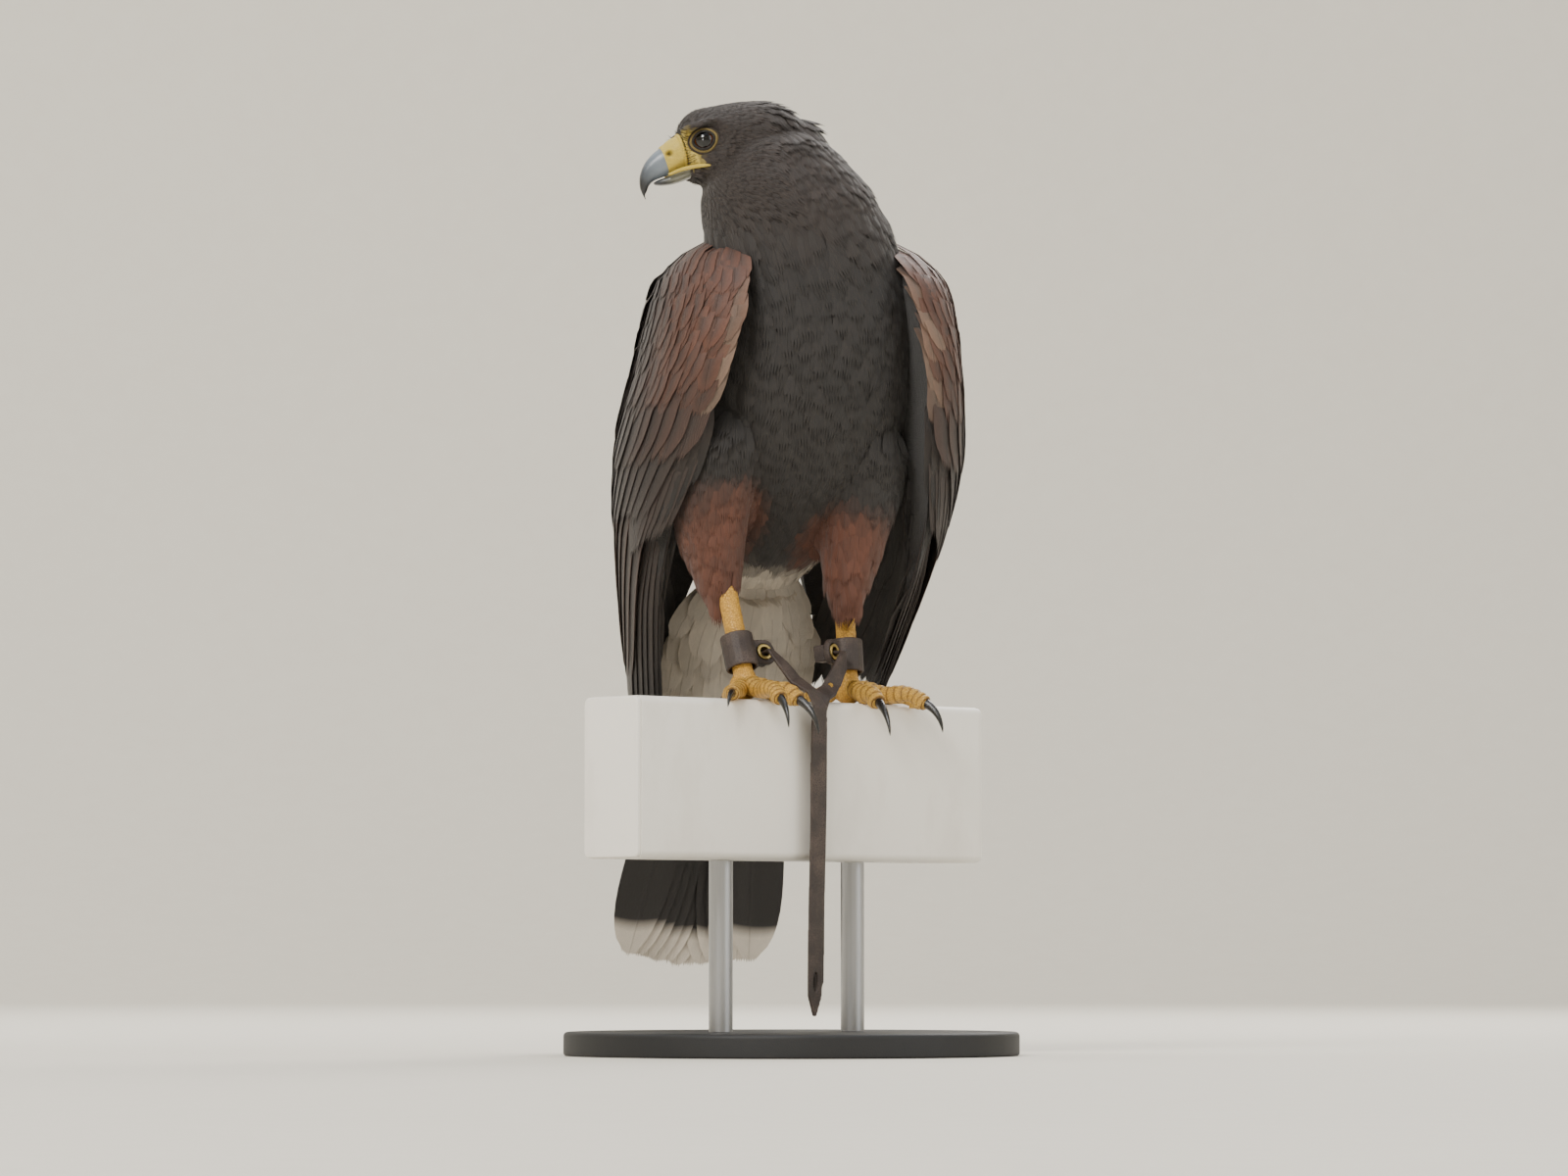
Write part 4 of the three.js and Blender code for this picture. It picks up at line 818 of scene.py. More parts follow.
def feather_cloud(name, points, normals, flow, places, length, width, tints, template, material, nodes,
                  slot, tilt, camber, sink):
    """One mesh of many copies of a small vane: tilt off the skin, curve across, and depth of the root."""
    shape, faces = template
    count, m = len(points), len(shape)
    side = unit(np.cross(flow, normals))
    twist = rng.normal(0, 0.11, count)[:, None]
    flow = unit(flow + side * twist)
    side = unit(np.cross(flow, normals))
    length = (length * rng.uniform(0.88, 1.12, count))[:, None]
    half = (width * rng.uniform(0.9, 1.1, count) / 2)[:, None]
    u, v, h = shape[None, :, 0], shape[None, :, 1], shape[None, :, 2]
    tilts = (tilt * rng.uniform(0.75, 1.3, count))[:, None]
    rise = v * length * tilts - 0.1 * length * v**2 * 0.9
    height = rise + camber * half * (1 - u**2) - sink + h
    out = (points[:, None] + side[:, None] * (u * half)[..., None] + flow[:, None] * (v * length)[..., None]
           + normals[:, None] * height[..., None])
    vane = np.broadcast_to(np.stack([0.5 + shape[:, 3] / 2, shape[:, 4]], 1)[None], (count, m, 2))
    patch = places[:, None] + FEATHER_PATCH * (vane - 0.5)
    vary = rng.uniform(0.82, 1.2, (count, 1, 1))
    fade = 1 + 0.12 * (shape[None, :, 4, None] - 0.4)
    tint = np.clip(tints[:, None] * vary * fade, 0, 1)
    mesh = Mesh()
    mesh.points = [out.reshape(-1, 3)]
    for corners in (3, 4):
        own = np.array([face for face in faces if len(face) == corners])
        every = own[None] + (np.arange(count) * m)[:, None, None]
        mesh.faces += every.reshape(-1, corners).tolist()
    mesh.vane, mesh.bake = [vane.reshape(-1, 2)], [patch.reshape(-1, 2)]
    mesh.tint = [tint.reshape(-1, 3)]
    mesh.count = count * m
    return mesh.build(name, material, nodes, slot)


def coat_spacing(points):
    """The distance between neighbouring feathers' roots."""
    high = ease(points[:, 2], 228, 256)
    s = mix(5.2, 3.3, high)
    s = mix(s, 3.9, near_thigh(points, 27, 40) * (1 - ease(points[:, 2], 110, 140)))
    return mix(s, 1.6, ease(in_head(points)[:, 0], 0, 20) * high)


def feathered(points, normals):
    """Where feathers grow: all but the lores, the ring about the eye and the thigh's foot."""
    bare = (lore(points) > 0.55) | (points[:, 2] < 54.5)
    for side in SIDE_SIGN:
        bare |= np.linalg.norm(points - eye_centre(side), axis=1) < 7.0
    bare |= near_eye(points, 6.2, 7.4) > 0.5
    bare |= (in_head(points)[:, 0] > 44.8) & (points[:, 2] > 240)
    return ~bare


def cover_body(skin, contour, fine):
    """The coat of the head, neck, trunk and thighs."""
    points, normals, places = scatter(skin, coat_spacing, feathered, COAT_TRIES)
    flow, on_head_part, leg = lie(points, normals)
    tints = body_tint(points, normals)
    spacing = coat_spacing(points)
    length, width = spacing * 3.3, spacing * 1.75
    length = mix(length, spacing * 3.0, on_head_part)
    width = mix(width, spacing * 1.35, on_head_part)
    low = leg * (1 - ease(points[:, 2], 56, 84))
    length = mix(length, 21.0, low * 0.8)
    width = mix(width, 6.0, low * 0.6)
    z = points[:, 2]
    face = on_head_part > 0.35
    legs = ~face & (leg > 0.5) & (z < 140)
    rest = ~face & ~legs
    groups = (
        ("coat_head", face, ["head"]),
        ("coat_legs", legs, ["thigh_right", "thigh_left"]),
        ("coat_neck", rest & (z > 226), ["neck"]),
        ("coat_breast", rest & (z <= 226) & (z > 160), ["torso"]),
        ("coat_belly", rest & (z <= 160), ["torso"]),
    )
    small = plume_template(3, 3, 0.12, 0.5)
    middle = plume_template(4, 6, 0.16)
    rows = (points, normals, flow, places, length, width, tints)
    for name, chosen, nodes in groups:
        own = [row[chosen] for row in rows]
        slot = "thighs" if name == "coat_legs" else "torso"
        if name == "coat_head":
            feather_cloud(name, *own, small, fine, nodes, slot, tilt=0.11, camber=0.22, sink=0.2)
        else:
            feather_cloud(name, *own, middle, contour, nodes, slot, tilt=0.125, camber=0.22, sink=0.5)


def bristles(skin, material):
    """Sparse dark bristles on the lores."""
    points, normals, places = scatter(
        skin, lambda p: np.full(len(p), 0.85), lambda p, n: lore(p) > 0.3, BRISTLE_TRIES)
    head = in_head(points)
    ahead = head_forward[None] * 0.8 + head_up[None] * ease(head[:, 2], 2, 14)[:, None] * 0.7
    count = len(points)
    feather_cloud(
        "lore_bristles", points, normals, along_surface(ahead, normals), places, np.full(count, 3.6),
        np.full(count, 0.26), np.broadcast_to(DARK * 0.5, (count, 3)), plume_template(2, 1, 0.14, 0.4),
        material, ["head"], "torso", tilt=0.42, camber=0.0, sink=0.1)


# The folded wing

wing_rows = track([
    [-80, 48, 92, 51, 104, 45, 118], [-40, 52, 76, 57, 94, 44, 116], [0, 58, 58, 65.5, 80, 39, 112],
    [40, 65, 35, 74, 62, 35, 106], [70, 68, 14, 80.5, 48, 25, 100], [100, 65, -6, 85.5, 35, 14, 92],
    [131, 58, -24, 86.5, 23, 12, 81], [166, 53, -39, 79.5, 12, 15, 70], [205, 44, -43, 72, 4, 20, 58],
    [228, 40, -30, 62, 2, 28, 42],
])
ARC_STEPS = 28
CORE_DEPTH, ROOT_DEPTH, SHOULDER_SINK = 4.5, 6.0, 8.0
wing_thickness = track([[40, 3], [70, 7], [100, 16], [131, 24], [166, 26], [205, 22], [228, 15]])


@lru_cache(maxsize=None)
def wing_arc(z):
    lead_x, lead_y, out_x, out_y, back_x, back_y = wing_rows(z)
    angle = np.linspace(-math.pi / 2, math.pi / 2, ARC_STEPS + 1)
    front = angle < 0
    inner = np.where(front, lead_x, back_x)
    x = inner + (out_x - inner) * np.cos(angle)
    y = out_y + np.where(front, out_y - lead_y, back_y - out_y) * np.sin(angle)
    points = np.stack([x, y, np.full_like(x, z)], 1)
    lengths = np.concatenate([[0], np.cumsum(np.linalg.norm(np.diff(points, axis=0), axis=1))])
    return points, lengths


def wing_point(z, around):
    """A point on the wing's outer curve at a height, so far round from its leading edge."""
    points, lengths = wing_arc(round(z * 2) / 2)
    if around <= 0:
        found = points[0] + unit(points[0] - points[1]) * -around
    else:
        i = int(np.clip(np.searchsorted(lengths, around), 1, len(lengths) - 1))
        step = points[i] - points[i - 1]
        found = points[i - 1] + step * (around - lengths[i - 1]) / (lengths[i] - lengths[i - 1])
    return np.array([found[0], found[1], z])


def wing_spot(z, around, height):
    """The same point, raised off the curve."""
    across = unit(wing_point(z, around + 2) - wing_point(z, around - 2))
    return wing_point(z, around) + np.array([across[1], -across[0], 0.0]) * height


TIP_SHAPES = {"flight": (0.55, 2.2, 0.72, 2.6), "round": (0.5, 1.8, 0.52, 2.3)}
STIFF_VANE, SOFT_VANE = 0.45, 0.2


def vane_width(v, shape):
    """A vane's share of its full width: how wide it starts, how fast it widens, and how its tip closes."""
    base, growth, start, power = TIP_SHAPES[shape]
    return min(1, base + growth * v) * math.sqrt(max(0.012, 1 - max(0, (v - start) / (1 - start)) ** power))


def grid_vane(mesh, spot, half, rows, columns, thickness, outer, shape, tint, draw, fray, cell=None,
              tuft=None, mirror=False):
    """A closed vane whose points come from spot(v, x, h). outer is the outer web's share of the width.

    Each column ends in a point of its own, and fray is the share of the length that the points take.
    Its colours bake to a cell of the map, a place and a size, or to a small patch at its tuft's place.
    """
    n = columns + 1
    last_v = 1.0 - fray
    tip_bend = 1.3 * fray
    points, vane, tints = [], [], []

    def near_shaft(u):
        return 0.5 * u / outer if u < outer else 0.5 + 0.5 * (u - outer) / (1 - outer)

    def bent(v, u):
        return v - tip_bend * (abs(u - outer) / max(outer, 1 - outer)) ** 2 * v**5

    def corner(v, u, h):
        points.append(spot(bent(v, u), (u - outer) * vane_width(v, shape) * half * 2, h))
        vane.append((near_shaft(u), v))
        tints.append(tint(v, near_shaft(u)))

    for face in (1, -1):
        for r in range(rows):
            v = last_v * (1 - (1 - r / (rows - 1)) ** 1.2)
            for c in range(n):
                u = c / columns
                ridge = 0.35 * thickness * math.exp(-((u - outer) / 0.05) ** 2) * (1 - v)
                corner(v, u, face * thickness * (1 - 0.5 * v) / 2 + (ridge if face > 0 else 0))
    for c in range(columns):
        u = (c + 0.5 + draw.uniform(-0.2, 0.2)) / columns
        v = bent(last_v, u) + fray * draw.uniform(0.45, 1.0)
        points.append(spot(v, (u - outer) * vane_width(last_v, shape) * half * 1.7, 0.0))
        vane.append((near_shaft(u), min(v, 1.0)))
        tints.append(tint(1.0, near_shaft(u)))
    faces = vane_faces(rows, columns)
    points, vane = np.array(points), np.array(vane)
    a, b, c = points[0], points[columns], points[(rows - 1) * n]
    outward = np.array(spot(0.5, 0, 1)) - np.array(spot(0.5, 0, 0))
    if np.dot(np.cross(b - a, c - a), outward) < 0:
        faces = [face[::-1] for face in faces]
    if mirror:
        points = points * [-1, 1, 1]
        faces = [face[::-1] for face in faces]
    if tuft is not None:
        bake = np.asarray(tuft) + FEATHER_PATCH * (vane - 0.5)
    else:
        bake = np.array(cell[:2]) + vane * np.array(cell[2:])
        bake[rows * n:2 * rows * n, 1] += cell[3] * 1.04
    mesh.add(points, faces, tint=np.array(tints), vane=vane, bake=bake)


def tier(count, roots, tips, half, level, step, lean, rows, shape, outer, kind, crest=0, rise=0.35,
         scatter=0.0):
    """One row of the wing's feathers: where the first and the last start and end, and how they lie.

    Roots and tips are heights and distances round the wing from its leading edge, and half is half a
    feather's width. The first lies at the level, each next one a step higher, and lean sinks its inner web.
    """
    return dict(count=count, roots=roots, tips=tips, half=half, level=level, step=step, lean=lean, rows=rows,
                shape=shape, outer=outer, kind=kind, crest=crest, rise=rise, scatter=scatter)


FLIGHT_TIERS = [
    tier(7, ((104, 8), (100, 30)), ((-20, 3), (-58, 27)), 10.5, -6, 1.12, 0.03, 18, "flight", 0.3, "primary",
         crest=-24),
    tier(9, ((124, 24), (124, 94)), ((12, 26), (32, 76)), 11, 0.4, 0.12, 0.13, 16, "flight", 0.38,
         "secondary"),
    tier(4, ((146, 102), (166, 136)), ((36, 80), (68, 112)), 12.5, 2.2, 0.5, 0.08, 14, "round", 0.45,
         "secondary"),
    tier(3, ((150, 4), (146, 12)), ((104, 1), (88, 8)), 6, 0.2, 0.5, 0.05, 9, "flight", 0.35, "primary"),
]
COVERT_TIERS = [
    tier(7, ((138, 6), (134, 24)), ((84, 5), (70, 24)), 6.2, 0.6, 0.3, 0.05, 9, "round", 0.4, "covert"),
    tier(12, ((156, 16), (156, 94)), ((88, 20), (88, 92)), 7.4, 2.6, 0.05, 0.13, 9, "round", 0.42, "covert"),
    tier(13, ((168, 8), (168, 100)), ((116, 10), (114, 98)), 6.8, 3.5, 0.04, 0.12, 8, "round", 0.5,
         "shoulder", scatter=1.0),
]

# The shoulder's small feathers, then the wing's inner side, then the long ones that run over the back

for row in range(11):
    z, wide, reach = 176 + row * 5.6, 104 - row * 2.2, 36 - row * 1.2
    first = 2 + (row % 2) * 3.0
    roots = ((z, first), (z + 1, wide + first))
    tips = ((z - reach, first + 1), (z - reach, wide + first + 1))
    level = 4.0 + 0.16 * row - 0.012 * row**2
    COVERT_TIERS.append(tier(
        17, roots, tips, 5.0 - row * 0.05, level, 0.02, 0.1, 5, "round", 0.5, "shoulder", scatter=2.4))
for row in range(7):
    z = 168 - row * 18
    roots, tips = ((z, 3), (z, 92)), ((z - 50, 5), (z - 50, 84))
    COVERT_TIERS.append(tier(
        11, roots, tips, 7.5, 0.8, 0.04, 0.02, 8, "round", 0.5, "inner", scatter=1.2))
for row in range(6):
    z, last, shift = 172 + row * 13, 152 - 1.2 * row, (row % 2) * 4
    roots = ((z, 84 - row * 4 + shift), (z - 2, last))
    tips = ((z - 44 + row * 2, 90 - row * 3 + shift), (z - 84 + row * 5, last))
    COVERT_TIERS.append(tier(
        9, roots, tips, 9.2 - row * 0.3, 5.6 + 0.3 * row, -0.42, 0.09, 8, "round", 0.5, "back",
        scatter=1.6, rise=0.35 + 0.06 * row))

PRIMARY, SECONDARY = shade("#1f1b1a", "#2f2520")


def wing_tint(kind, around, z, vary):
    """The colour along one of the wing's feathers, as a function of v and its map's u."""
    shoulder = float((1 - ease(around, 20, 66)) * ease(z, 118, 192))
    leading = float((1 - ease(around, 2.5, 6.5)) * ease(z, 100, 130) * (1 - ease(z, 196, 226)))

    def at(v, u):
        rim = abs(u - 0.5) + max(0, v - 0.72) * 0.9
        if kind == "primary":
            tint = mix(SECONDARY, PRIMARY, float(ease(v, 0.3, 0.8)))
        elif kind == "secondary":
            tint = mix(SECONDARY, CHESTNUT, 0.22 * float(ease(rim, 0.38, 0.5)))
        elif kind == "inner":
            tint = mix(DARK * 0.8, WARM, 0.4 * float(ease(rim, 0.2, 0.5)))
        elif kind in ("covert", "shoulder"):
            patch = mix(DARK, mix(CHESTNUT, RUFOUS, 0.5), 0.12 + 0.8 * shoulder)
            tint = mix(mix(patch, DARK, 0.55), patch, float(ease(rim, 0.02, 0.34)))
            tint = mix(tint, PALE_LINE, 0.45 * leading)
        else:
            tint = mix(DARK, WARM, 0.5 + 0.5 * float(ease(rim, 0.25, 0.55)))
        return np.clip(tint * vary, 0, 1)

    return at


def wing_feather(mesh, row, i, draw, mirror, **map_place):
    """One feather of a row of the wing."""
    t = i / (row["count"] - 1)
    loose = row["scatter"]
    bow = row["crest"] * math.sin(math.pi * min(1, t * 1.25))
    root = [mix(row["roots"][0][k], row["roots"][1][k], t) + draw.uniform(-1, 1) * loose for k in (0, 1)]
    tip = [mix(row["tips"][0][k], row["tips"][1][k], t) + draw.uniform(-1, 1) * loose for k in (0, 1)]
    tip[0] += bow + draw.uniform(-1.6, 1.6)
    level = row["level"] + i * row["step"] + draw.uniform(-0.1, 0.25) * loose
    slant = math.atan2(tip[1] - root[1], root[0] - tip[0])
    large = row["rows"] >= 10
    curl = 0.0 if large else draw.uniform(-0.6, 0.4)
    sway = -TRUNK_SWAY if mirror else TRUNK_SWAY

    def spot(v, x, h):
        z = mix(root[0], tip[0], v) + x * math.sin(slant)
        around = mix(root[1], tip[1], v) + x * math.cos(slant)
        rising = float(ease(v, 0, row["rise"]))
        if row["kind"] == "inner":
            deep = CORE_DEPTH + float(wing_thickness(min(max(z, 40), 228))[0])
            height = -deep - mix(-3.0, level, rising) - h - curl * v**3
        else:
            height = mix(-ROOT_DEPTH, level, rising) - x * row["lean"] + h + curl * v**3
            height -= SHOULDER_SINK * float(ease(z, 212, 242))
        return wing_spot(z, around, height) + ACROSS * sway

    tint = wing_tint(row["kind"], root[1], mix(root[0], tip[0], 0.5), draw.uniform(0.84, 1.16))
    half = row["half"] * draw.uniform(0.94, 1.06)
    columns = 6 if large else min(row["rows"], 7)
    thickness = STIFF_VANE if large else SOFT_VANE
    grid_vane(mesh, spot, half, row["rows"], columns, thickness, row["outer"], row["shape"], tint, draw,
              fray=0.03 if large else 0.1, mirror=mirror, **map_place)


def build_wing(side, materials):
    """The flight feathers, the coverts over them and the flesh. A right wing is a left one turned over."""
    mirror = side == "right"
    draw = random.Random(11 if mirror else 37)
    flight, covert = Mesh(), Mesh()
    cells = iter([(0.02 + 0.12 * (i % 8), 0.02 + 0.24 * (i // 8), 0.1, 0.11) for i in range(32)])
    for row in FLIGHT_TIERS:
        for i in range(row["count"]):
            wing_feather(flight, row, i, draw, mirror, cell=next(cells))
    for row in COVERT_TIERS:
        first, last = row["roots"]
        for i in range(row["count"]):
            z, around = (mix(first[k], last[k], i / (row["count"] - 1)) for k in (0, 1))
            tuft = (0.05 + 0.85 * around / 160, 0.05 + 0.9 * (z - 120) / 130)
            wing_feather(covert, row, i, draw, mirror, tuft=tuft)
    node = f"wing_{side}"
    flight.build(f"wing_{side}_flight", materials["flight"], [node], "wings", sharp=40)
    covert.build(f"wing_{side}_coverts", materials["covert"], [node], "wings", sharp=40)
    build_wing_core(side, materials["down"])


def build_wing_core(side, material):
    """The flesh of the wing, which its feathers lie on."""
    heights = np.concatenate([np.linspace(50, 226, 45), [230]])
    sides = 40
    rings = []
    for z in heights:
        deep = wing_thickness(min(z, 228))[0] * 0.96
        _, lengths = wing_arc(round(z * 2) / 2)
        spread = np.linspace(3, lengths[-1] * 0.96, sides // 2)
        outer = [wing_spot(z, a, -CORE_DEPTH - 0.3) for a in spread]
        inner = [wing_spot(z, a, -CORE_DEPTH - deep) for a in spread[::-1]]
        rings.append(np.array(outer + inner))
    rings[-1] = mix(rings[-1], rings[-1].mean(0), 0.3)
    points = np.concatenate(rings)
    faces = skin_faces(len(heights), sides)
    if side == "right":
        points = points * [-1, 1, 1]
        faces = [face[::-1] for face in faces]
    core = Mesh()
    core.add(points + ACROSS * TRUNK_SWAY, faces, tint=DARK * 0.9)
    core.build(f"wing_{side}_core", material, [f"wing_{side}"], "wings", sharp=60)


def build_mantle(material):
    """The feathers of the back's middle, between the wings."""
    draw = random.Random(53)
    mantle = Mesh()
    for row in range(13):
        top = 242 - row * 9.5
        for i in range(8):
            place = TRUNK_SWAY + (i - 3.5) * 9.0 + (row % 2) * 4.5 + draw.uniform(-1.5, 1.5)
            length = 50 + draw.uniform(-5, 5) - 8 * float(ease(top, 190, 240))
            lift, vary = draw.uniform(0, 1.0), draw.uniform(0.85, 1.15)

            def spot(v, x, h):
                z = top - v * length
                back = wing_rows(max(z, 60))[5]
                curve = 0.004 * (place + x - TRUNK_SWAY) ** 2
                rising = mix(-4.0, 2.6, float(ease(v, 0, 0.5)))
                height = rising - curve + lift - 5 * float(ease(z, 205, 245))
                return np.array([place + x, back + height + h, z])

            def tint(v, u):
                rim = 0.4 + 0.6 * float(ease(abs(u - 0.5), 0.2, 0.5))
                return np.clip(mix(DARK, WARM, rim) * vary, 0, 1)

            tuft = (0.1 + 0.8 * (place + 40) / 92, 0.1 + 0.8 * (top - 120) / 125)
            grid_vane(mantle, spot, 7.6, 8, 8, SOFT_VANE, 0.5, "round", tint, draw, fray=0.1, tuft=tuft)
    mantle.build("coat_mantle", material, ["torso"], "torso", sharp=40)


# The tail

TAIL_ROOT = np.array([2.0, 81.0, 66.0])
TAIL_LENGTH, TAIL_PAIRS = 216.0, 6
tail_along = unit([math.sin(math.radians(-3)), math.cos(math.radians(70)), -math.sin(math.radians(70))])
tail_side = unit(ACROSS - tail_along * tail_along[0])
tail_up = np.cross(tail_side, tail_along)
tail_up = tail_up * math.copysign(1.0, tail_up[1])


def on_tail(along, side, up):
    return TAIL_ROOT + tail_along * along + tail_side * side + tail_up * up


def build_tail(materials):
    """Twelve tail feathers, the white coverts over and under their roots, and the flesh that holds them."""
    tail = Mesh()
    draw = random.Random(71)
    white, black, brown = shade("#d9d1c4", "#1c1817", "#2a221f")
    order = [s * (i + 0.5) for i in range(TAIL_PAIRS) for s in (1, -1)]
    for n, place in enumerate(order):
        out = abs(place)
        length = TAIL_LENGTH - out * 1.4 - draw.uniform(0, 2)
        fan = math.radians(place * 1.35)

        def spot(v, x, h):
            reach = mix(14, length, v)
            side = place * 1.2 + math.sin(fan) * reach + x
            lift = (2.4 - (out + (0.5 if place < 0 else 0)) * 1.3) * float(ease(v, 0, 0.2))
            return on_tail(reach, side, lift - side * side * 0.002 + 3 * math.sin(v * 2) + h)

        vary = draw.uniform(0.9, 1.12)

        def tint(v, u):
            base = 1 - float(ease(v, 0.2, 0.3 + 0.06 * math.sin(u * 9)))
            tip = float(ease(v, 0.9, 0.93))
            body = mix(brown, black, float(ease(v, 0.3, 0.6)))
            return np.clip(mix(mix(body, white, base), white, tip) * vary, 0, 1)

        cell = (0.02 + 0.12 * (n % 6), 0.02 + 0.24 * (n // 6), 0.1, 0.11)
        outer = 0.42 if place > 0 else 0.58
        grid_vane(tail, spot, 15.0, 22, 8, STIFF_VANE, outer, "flight", tint, draw, fray=0.014, cell=cell)
    top_line = track([[0, 13], [14, 9.5], [34, 5.8], [60, 4.6], [110, 4.2]])
    low_line = track([[-24, 13], [0, 15], [14, 14], [34, 12.5], [60, 10.5], [110, 8]])
    covers = [(1, 9, row, 4 + row * 11, 40, 21) for row in range(4)]
    covers += [(-1, 13, row, -24 + row * 14, 48, 36) for row in range(7)]
    for face, count, row, start, reach, spread in covers:
        for i in range(count):
            place = mix(-spread, spread, i / (count - 1)) + (row % 2) * 2.4 + draw.uniform(-1, 1)
            end = start + reach - abs(place) * 0.5 + draw.uniform(-4, 4)
            lift = draw.uniform(0, 1.6)

            def spot(v, x, h):
                along = mix(start, end, v)
                line = top_line if face > 0 else low_line
                sag = (0.007 if face > 0 else 0.005) * (place + x) ** 2
                sunk = 5.0 * (1 - float(ease(v, 0, 0.4)))
                height = float(line(along)[0]) + 0.9 - sag + lift + 1.2 * v * v - sunk
                fan = 1 + 0.12 * v if face > 0 else mix(0.42, 1.0, float(ease(along, -22, 34)))
                return on_tail(along, place * fan + x * min(1, fan + 0.2), face * height + h * face)

            vary = draw.uniform(0.82, 1.05)

            def tint(v, u):
                return np.clip(mix(WHITE, white, v) * vary, 0, 1)

            tuft = (0.74 + 0.2 * (place + 35) / 70, 0.05 + 0.9 * (start + 24) / 90)
            grid_vane(tail, spot, 6.2, 7, 7, SOFT_VANE, 0.5, "round", tint, draw, fray=0.12, tuft=tuft)
    tail.build("tail_feathers", materials["flight"], ["tail"], "tail", sharp=40)
    core = Mesh()
    rows = ((0.5, 24, 13, 0), (14, 26, 10.5, -1), (34, 26, 7.4, -2), (60, 24, 4.4, -2.6), (86, 19, 2.2, -2.4))
    rings = [oval(on_tail(along, 0, up), tail_side * half_width, tail_up * half_depth, 32)
             for along, half_width, half_depth, up in rows]
    core.add(np.concatenate(rings), skin_faces(len(rows), 32), tint=WHITE)
    core.build("tail_core", materials["down"], ["tail"], "tail", sharp=60)


# The head's bare parts

upper_bill = track([
    [0, 45.5, 17, 45.5, 0.8, 9.8], [1, 50.8, 16, 50.2, 0, 8.1], [2, 56, 13.6, 55.2, -0.8, 6.6],
    [3, 61.2, 11.3, 60, -1, 5.4], [4, 66, 7.8, 63.9, -1.6, 4.3], [5, 69.6, 3, 66.9, -3.4, 3.1],
    [6, 71.2, -2, 68.6, -5.6, 2], [7, 71.2, -5.6, 70, -7.2, 1], [7.6, 70.5, -9.2, 70.2, -9.4, 0.15],
])
lower_bill = track([
    [0, 45.5, -0.1, 45.5, -5.4, 7.9], [1, 50.8, -0.7, 50.8, -5.8, 6.4], [2, 56, -1.4, 55.8, -5.7, 4.9],
    [3, 61, -1.7, 60.6, -4.8, 3.5], [4, 64, -2.3, 63.5, -3.7, 1.7],
])
NOSTRIL = (52.9, 7.1, 9.0)


def bill_rings(form, start, end, count, sides, grow=0.0):
    """Rings along the bill between two of its form's stations, with places in the piece's own map."""
    rings, vane = [], []
    for share in np.linspace(0, 1, count):
        top_forward, top_up, low_forward, low_up, half_width = form(mix(start, end, share))
        top, low = on_head(top_forward, 0, top_up), on_head(low_forward, 0, low_up)
        rise = (top - low) / 2
        rise = rise + unit(rise) * grow
        rings.append(oval((top + low) / 2, head_side * (half_width + grow), rise, sides, 0.85))
        vane += [(i / sides, share) for i in range(sides)]
    return np.concatenate(rings), vane


def build_bill(materials):
    parts = (("upper", upper_bill, 1.9, 7.6, 64, "bill"), ("lower", lower_bill, 0, 4, 30, "bill_low"))
    for part, form, start, end, count, finish_name in parts:
        horn_piece = Mesh()
        points, vane = bill_rings(form, start, end, count, 40)
        horn_piece.add(points, skin_faces(count, 40), vane=vane)
        horn_piece.build(f"bill_{part}_horn", materials[finish_name], [f"bill_{part}"], "bill", sharp=70)


def build_cere(material):
    """The bare skin over the bill's base: nostrils with painted shade in their dents, a rolled front and back
    edge, and the gape.
    """
    # deep is near black: painted shade for the nostril openings, which are only shallow dents
    yellow, deep = shade("#d2bb55", "#1c150d")
    count, sides = 36, 56
    cere = Mesh()
    points, vane = bill_rings(upper_bill, -0.1, 2.05, count, sides, grow=0.25)
    local = in_head(points)
    dark = np.zeros(len(points))
    for sign in (1, -1):
        away = local - np.array([NOSTRIL[0], sign * (NOSTRIL[1] + 0.3), NOSTRIL[2]])
        reach = np.linalg.norm(away / [1.7, 3.5, 1.35], axis=1)
        dent = np.exp(-reach**2 * 1.1)[:, None]
        rim = np.exp(-((reach - 1.5) ** 2) * 3.0)[:, None]
        points = points - head_side * sign * (2.6 * dent - 0.45 * rim)
        # The mask dark colours each nostril's dent toward near black: painted shade standing in for the
        # opening's depth
        hollow = np.linalg.norm(away / [1.2, 3.0, 0.95], axis=1)
        dark = np.maximum(dark, np.exp(-hollow**2))
    front_edge = 55.8
    fold = np.exp(-((in_head(points)[:, 0] - front_edge) ** 2) / 1.2)[:, None]
    points = points + unit(points - on_head(front_edge, 0, 6.5)) * 0.35 * fold
    base = points[:sides] + head_forward * 0.35
    collar = np.concatenate([base, base[:2]])
    cere.add(sweep(collar, lambda t, a: 0.85, 8), skin_faces(len(collar), 8), tint=yellow)
    cere.add(points, skin_faces(count, sides), tint=mix(yellow, deep, dark[:, None]), vane=vane)
    gape = ((56.5, 6.8, -1.0), (49.5, 9.1, -0.5), (43.5, 12.3, -1.1), (39.0, 15.1, -2.1),
            (36.0, 16.4, -3.0))
    for sign in (1, -1):
        path = spline([on_head(forward, sign * out, up) for forward, out, up in gape], 26)
        radius = lambda t, a: 0.25 + 0.85 * math.sin(math.pi * min(1, 0.12 + t * 0.86)) ** 0.7
        cere.add(sweep(path, radius, 12), skin_faces(26, 12), tint=yellow)
    cere.build("cere_skin", material, ["cere"], "cere", sharp=80)


def eye_axes(side):
    """The eye's middle, the way it looks, and the directions across and up its front."""
    gaze = unit(head_side * SIDE_SIGN[side] + head_forward * 0.34 - head_up * 0.02)
    across = unit(np.cross(gaze, head_up))
    return eye_centre(side), gaze, across, np.cross(across, gaze)


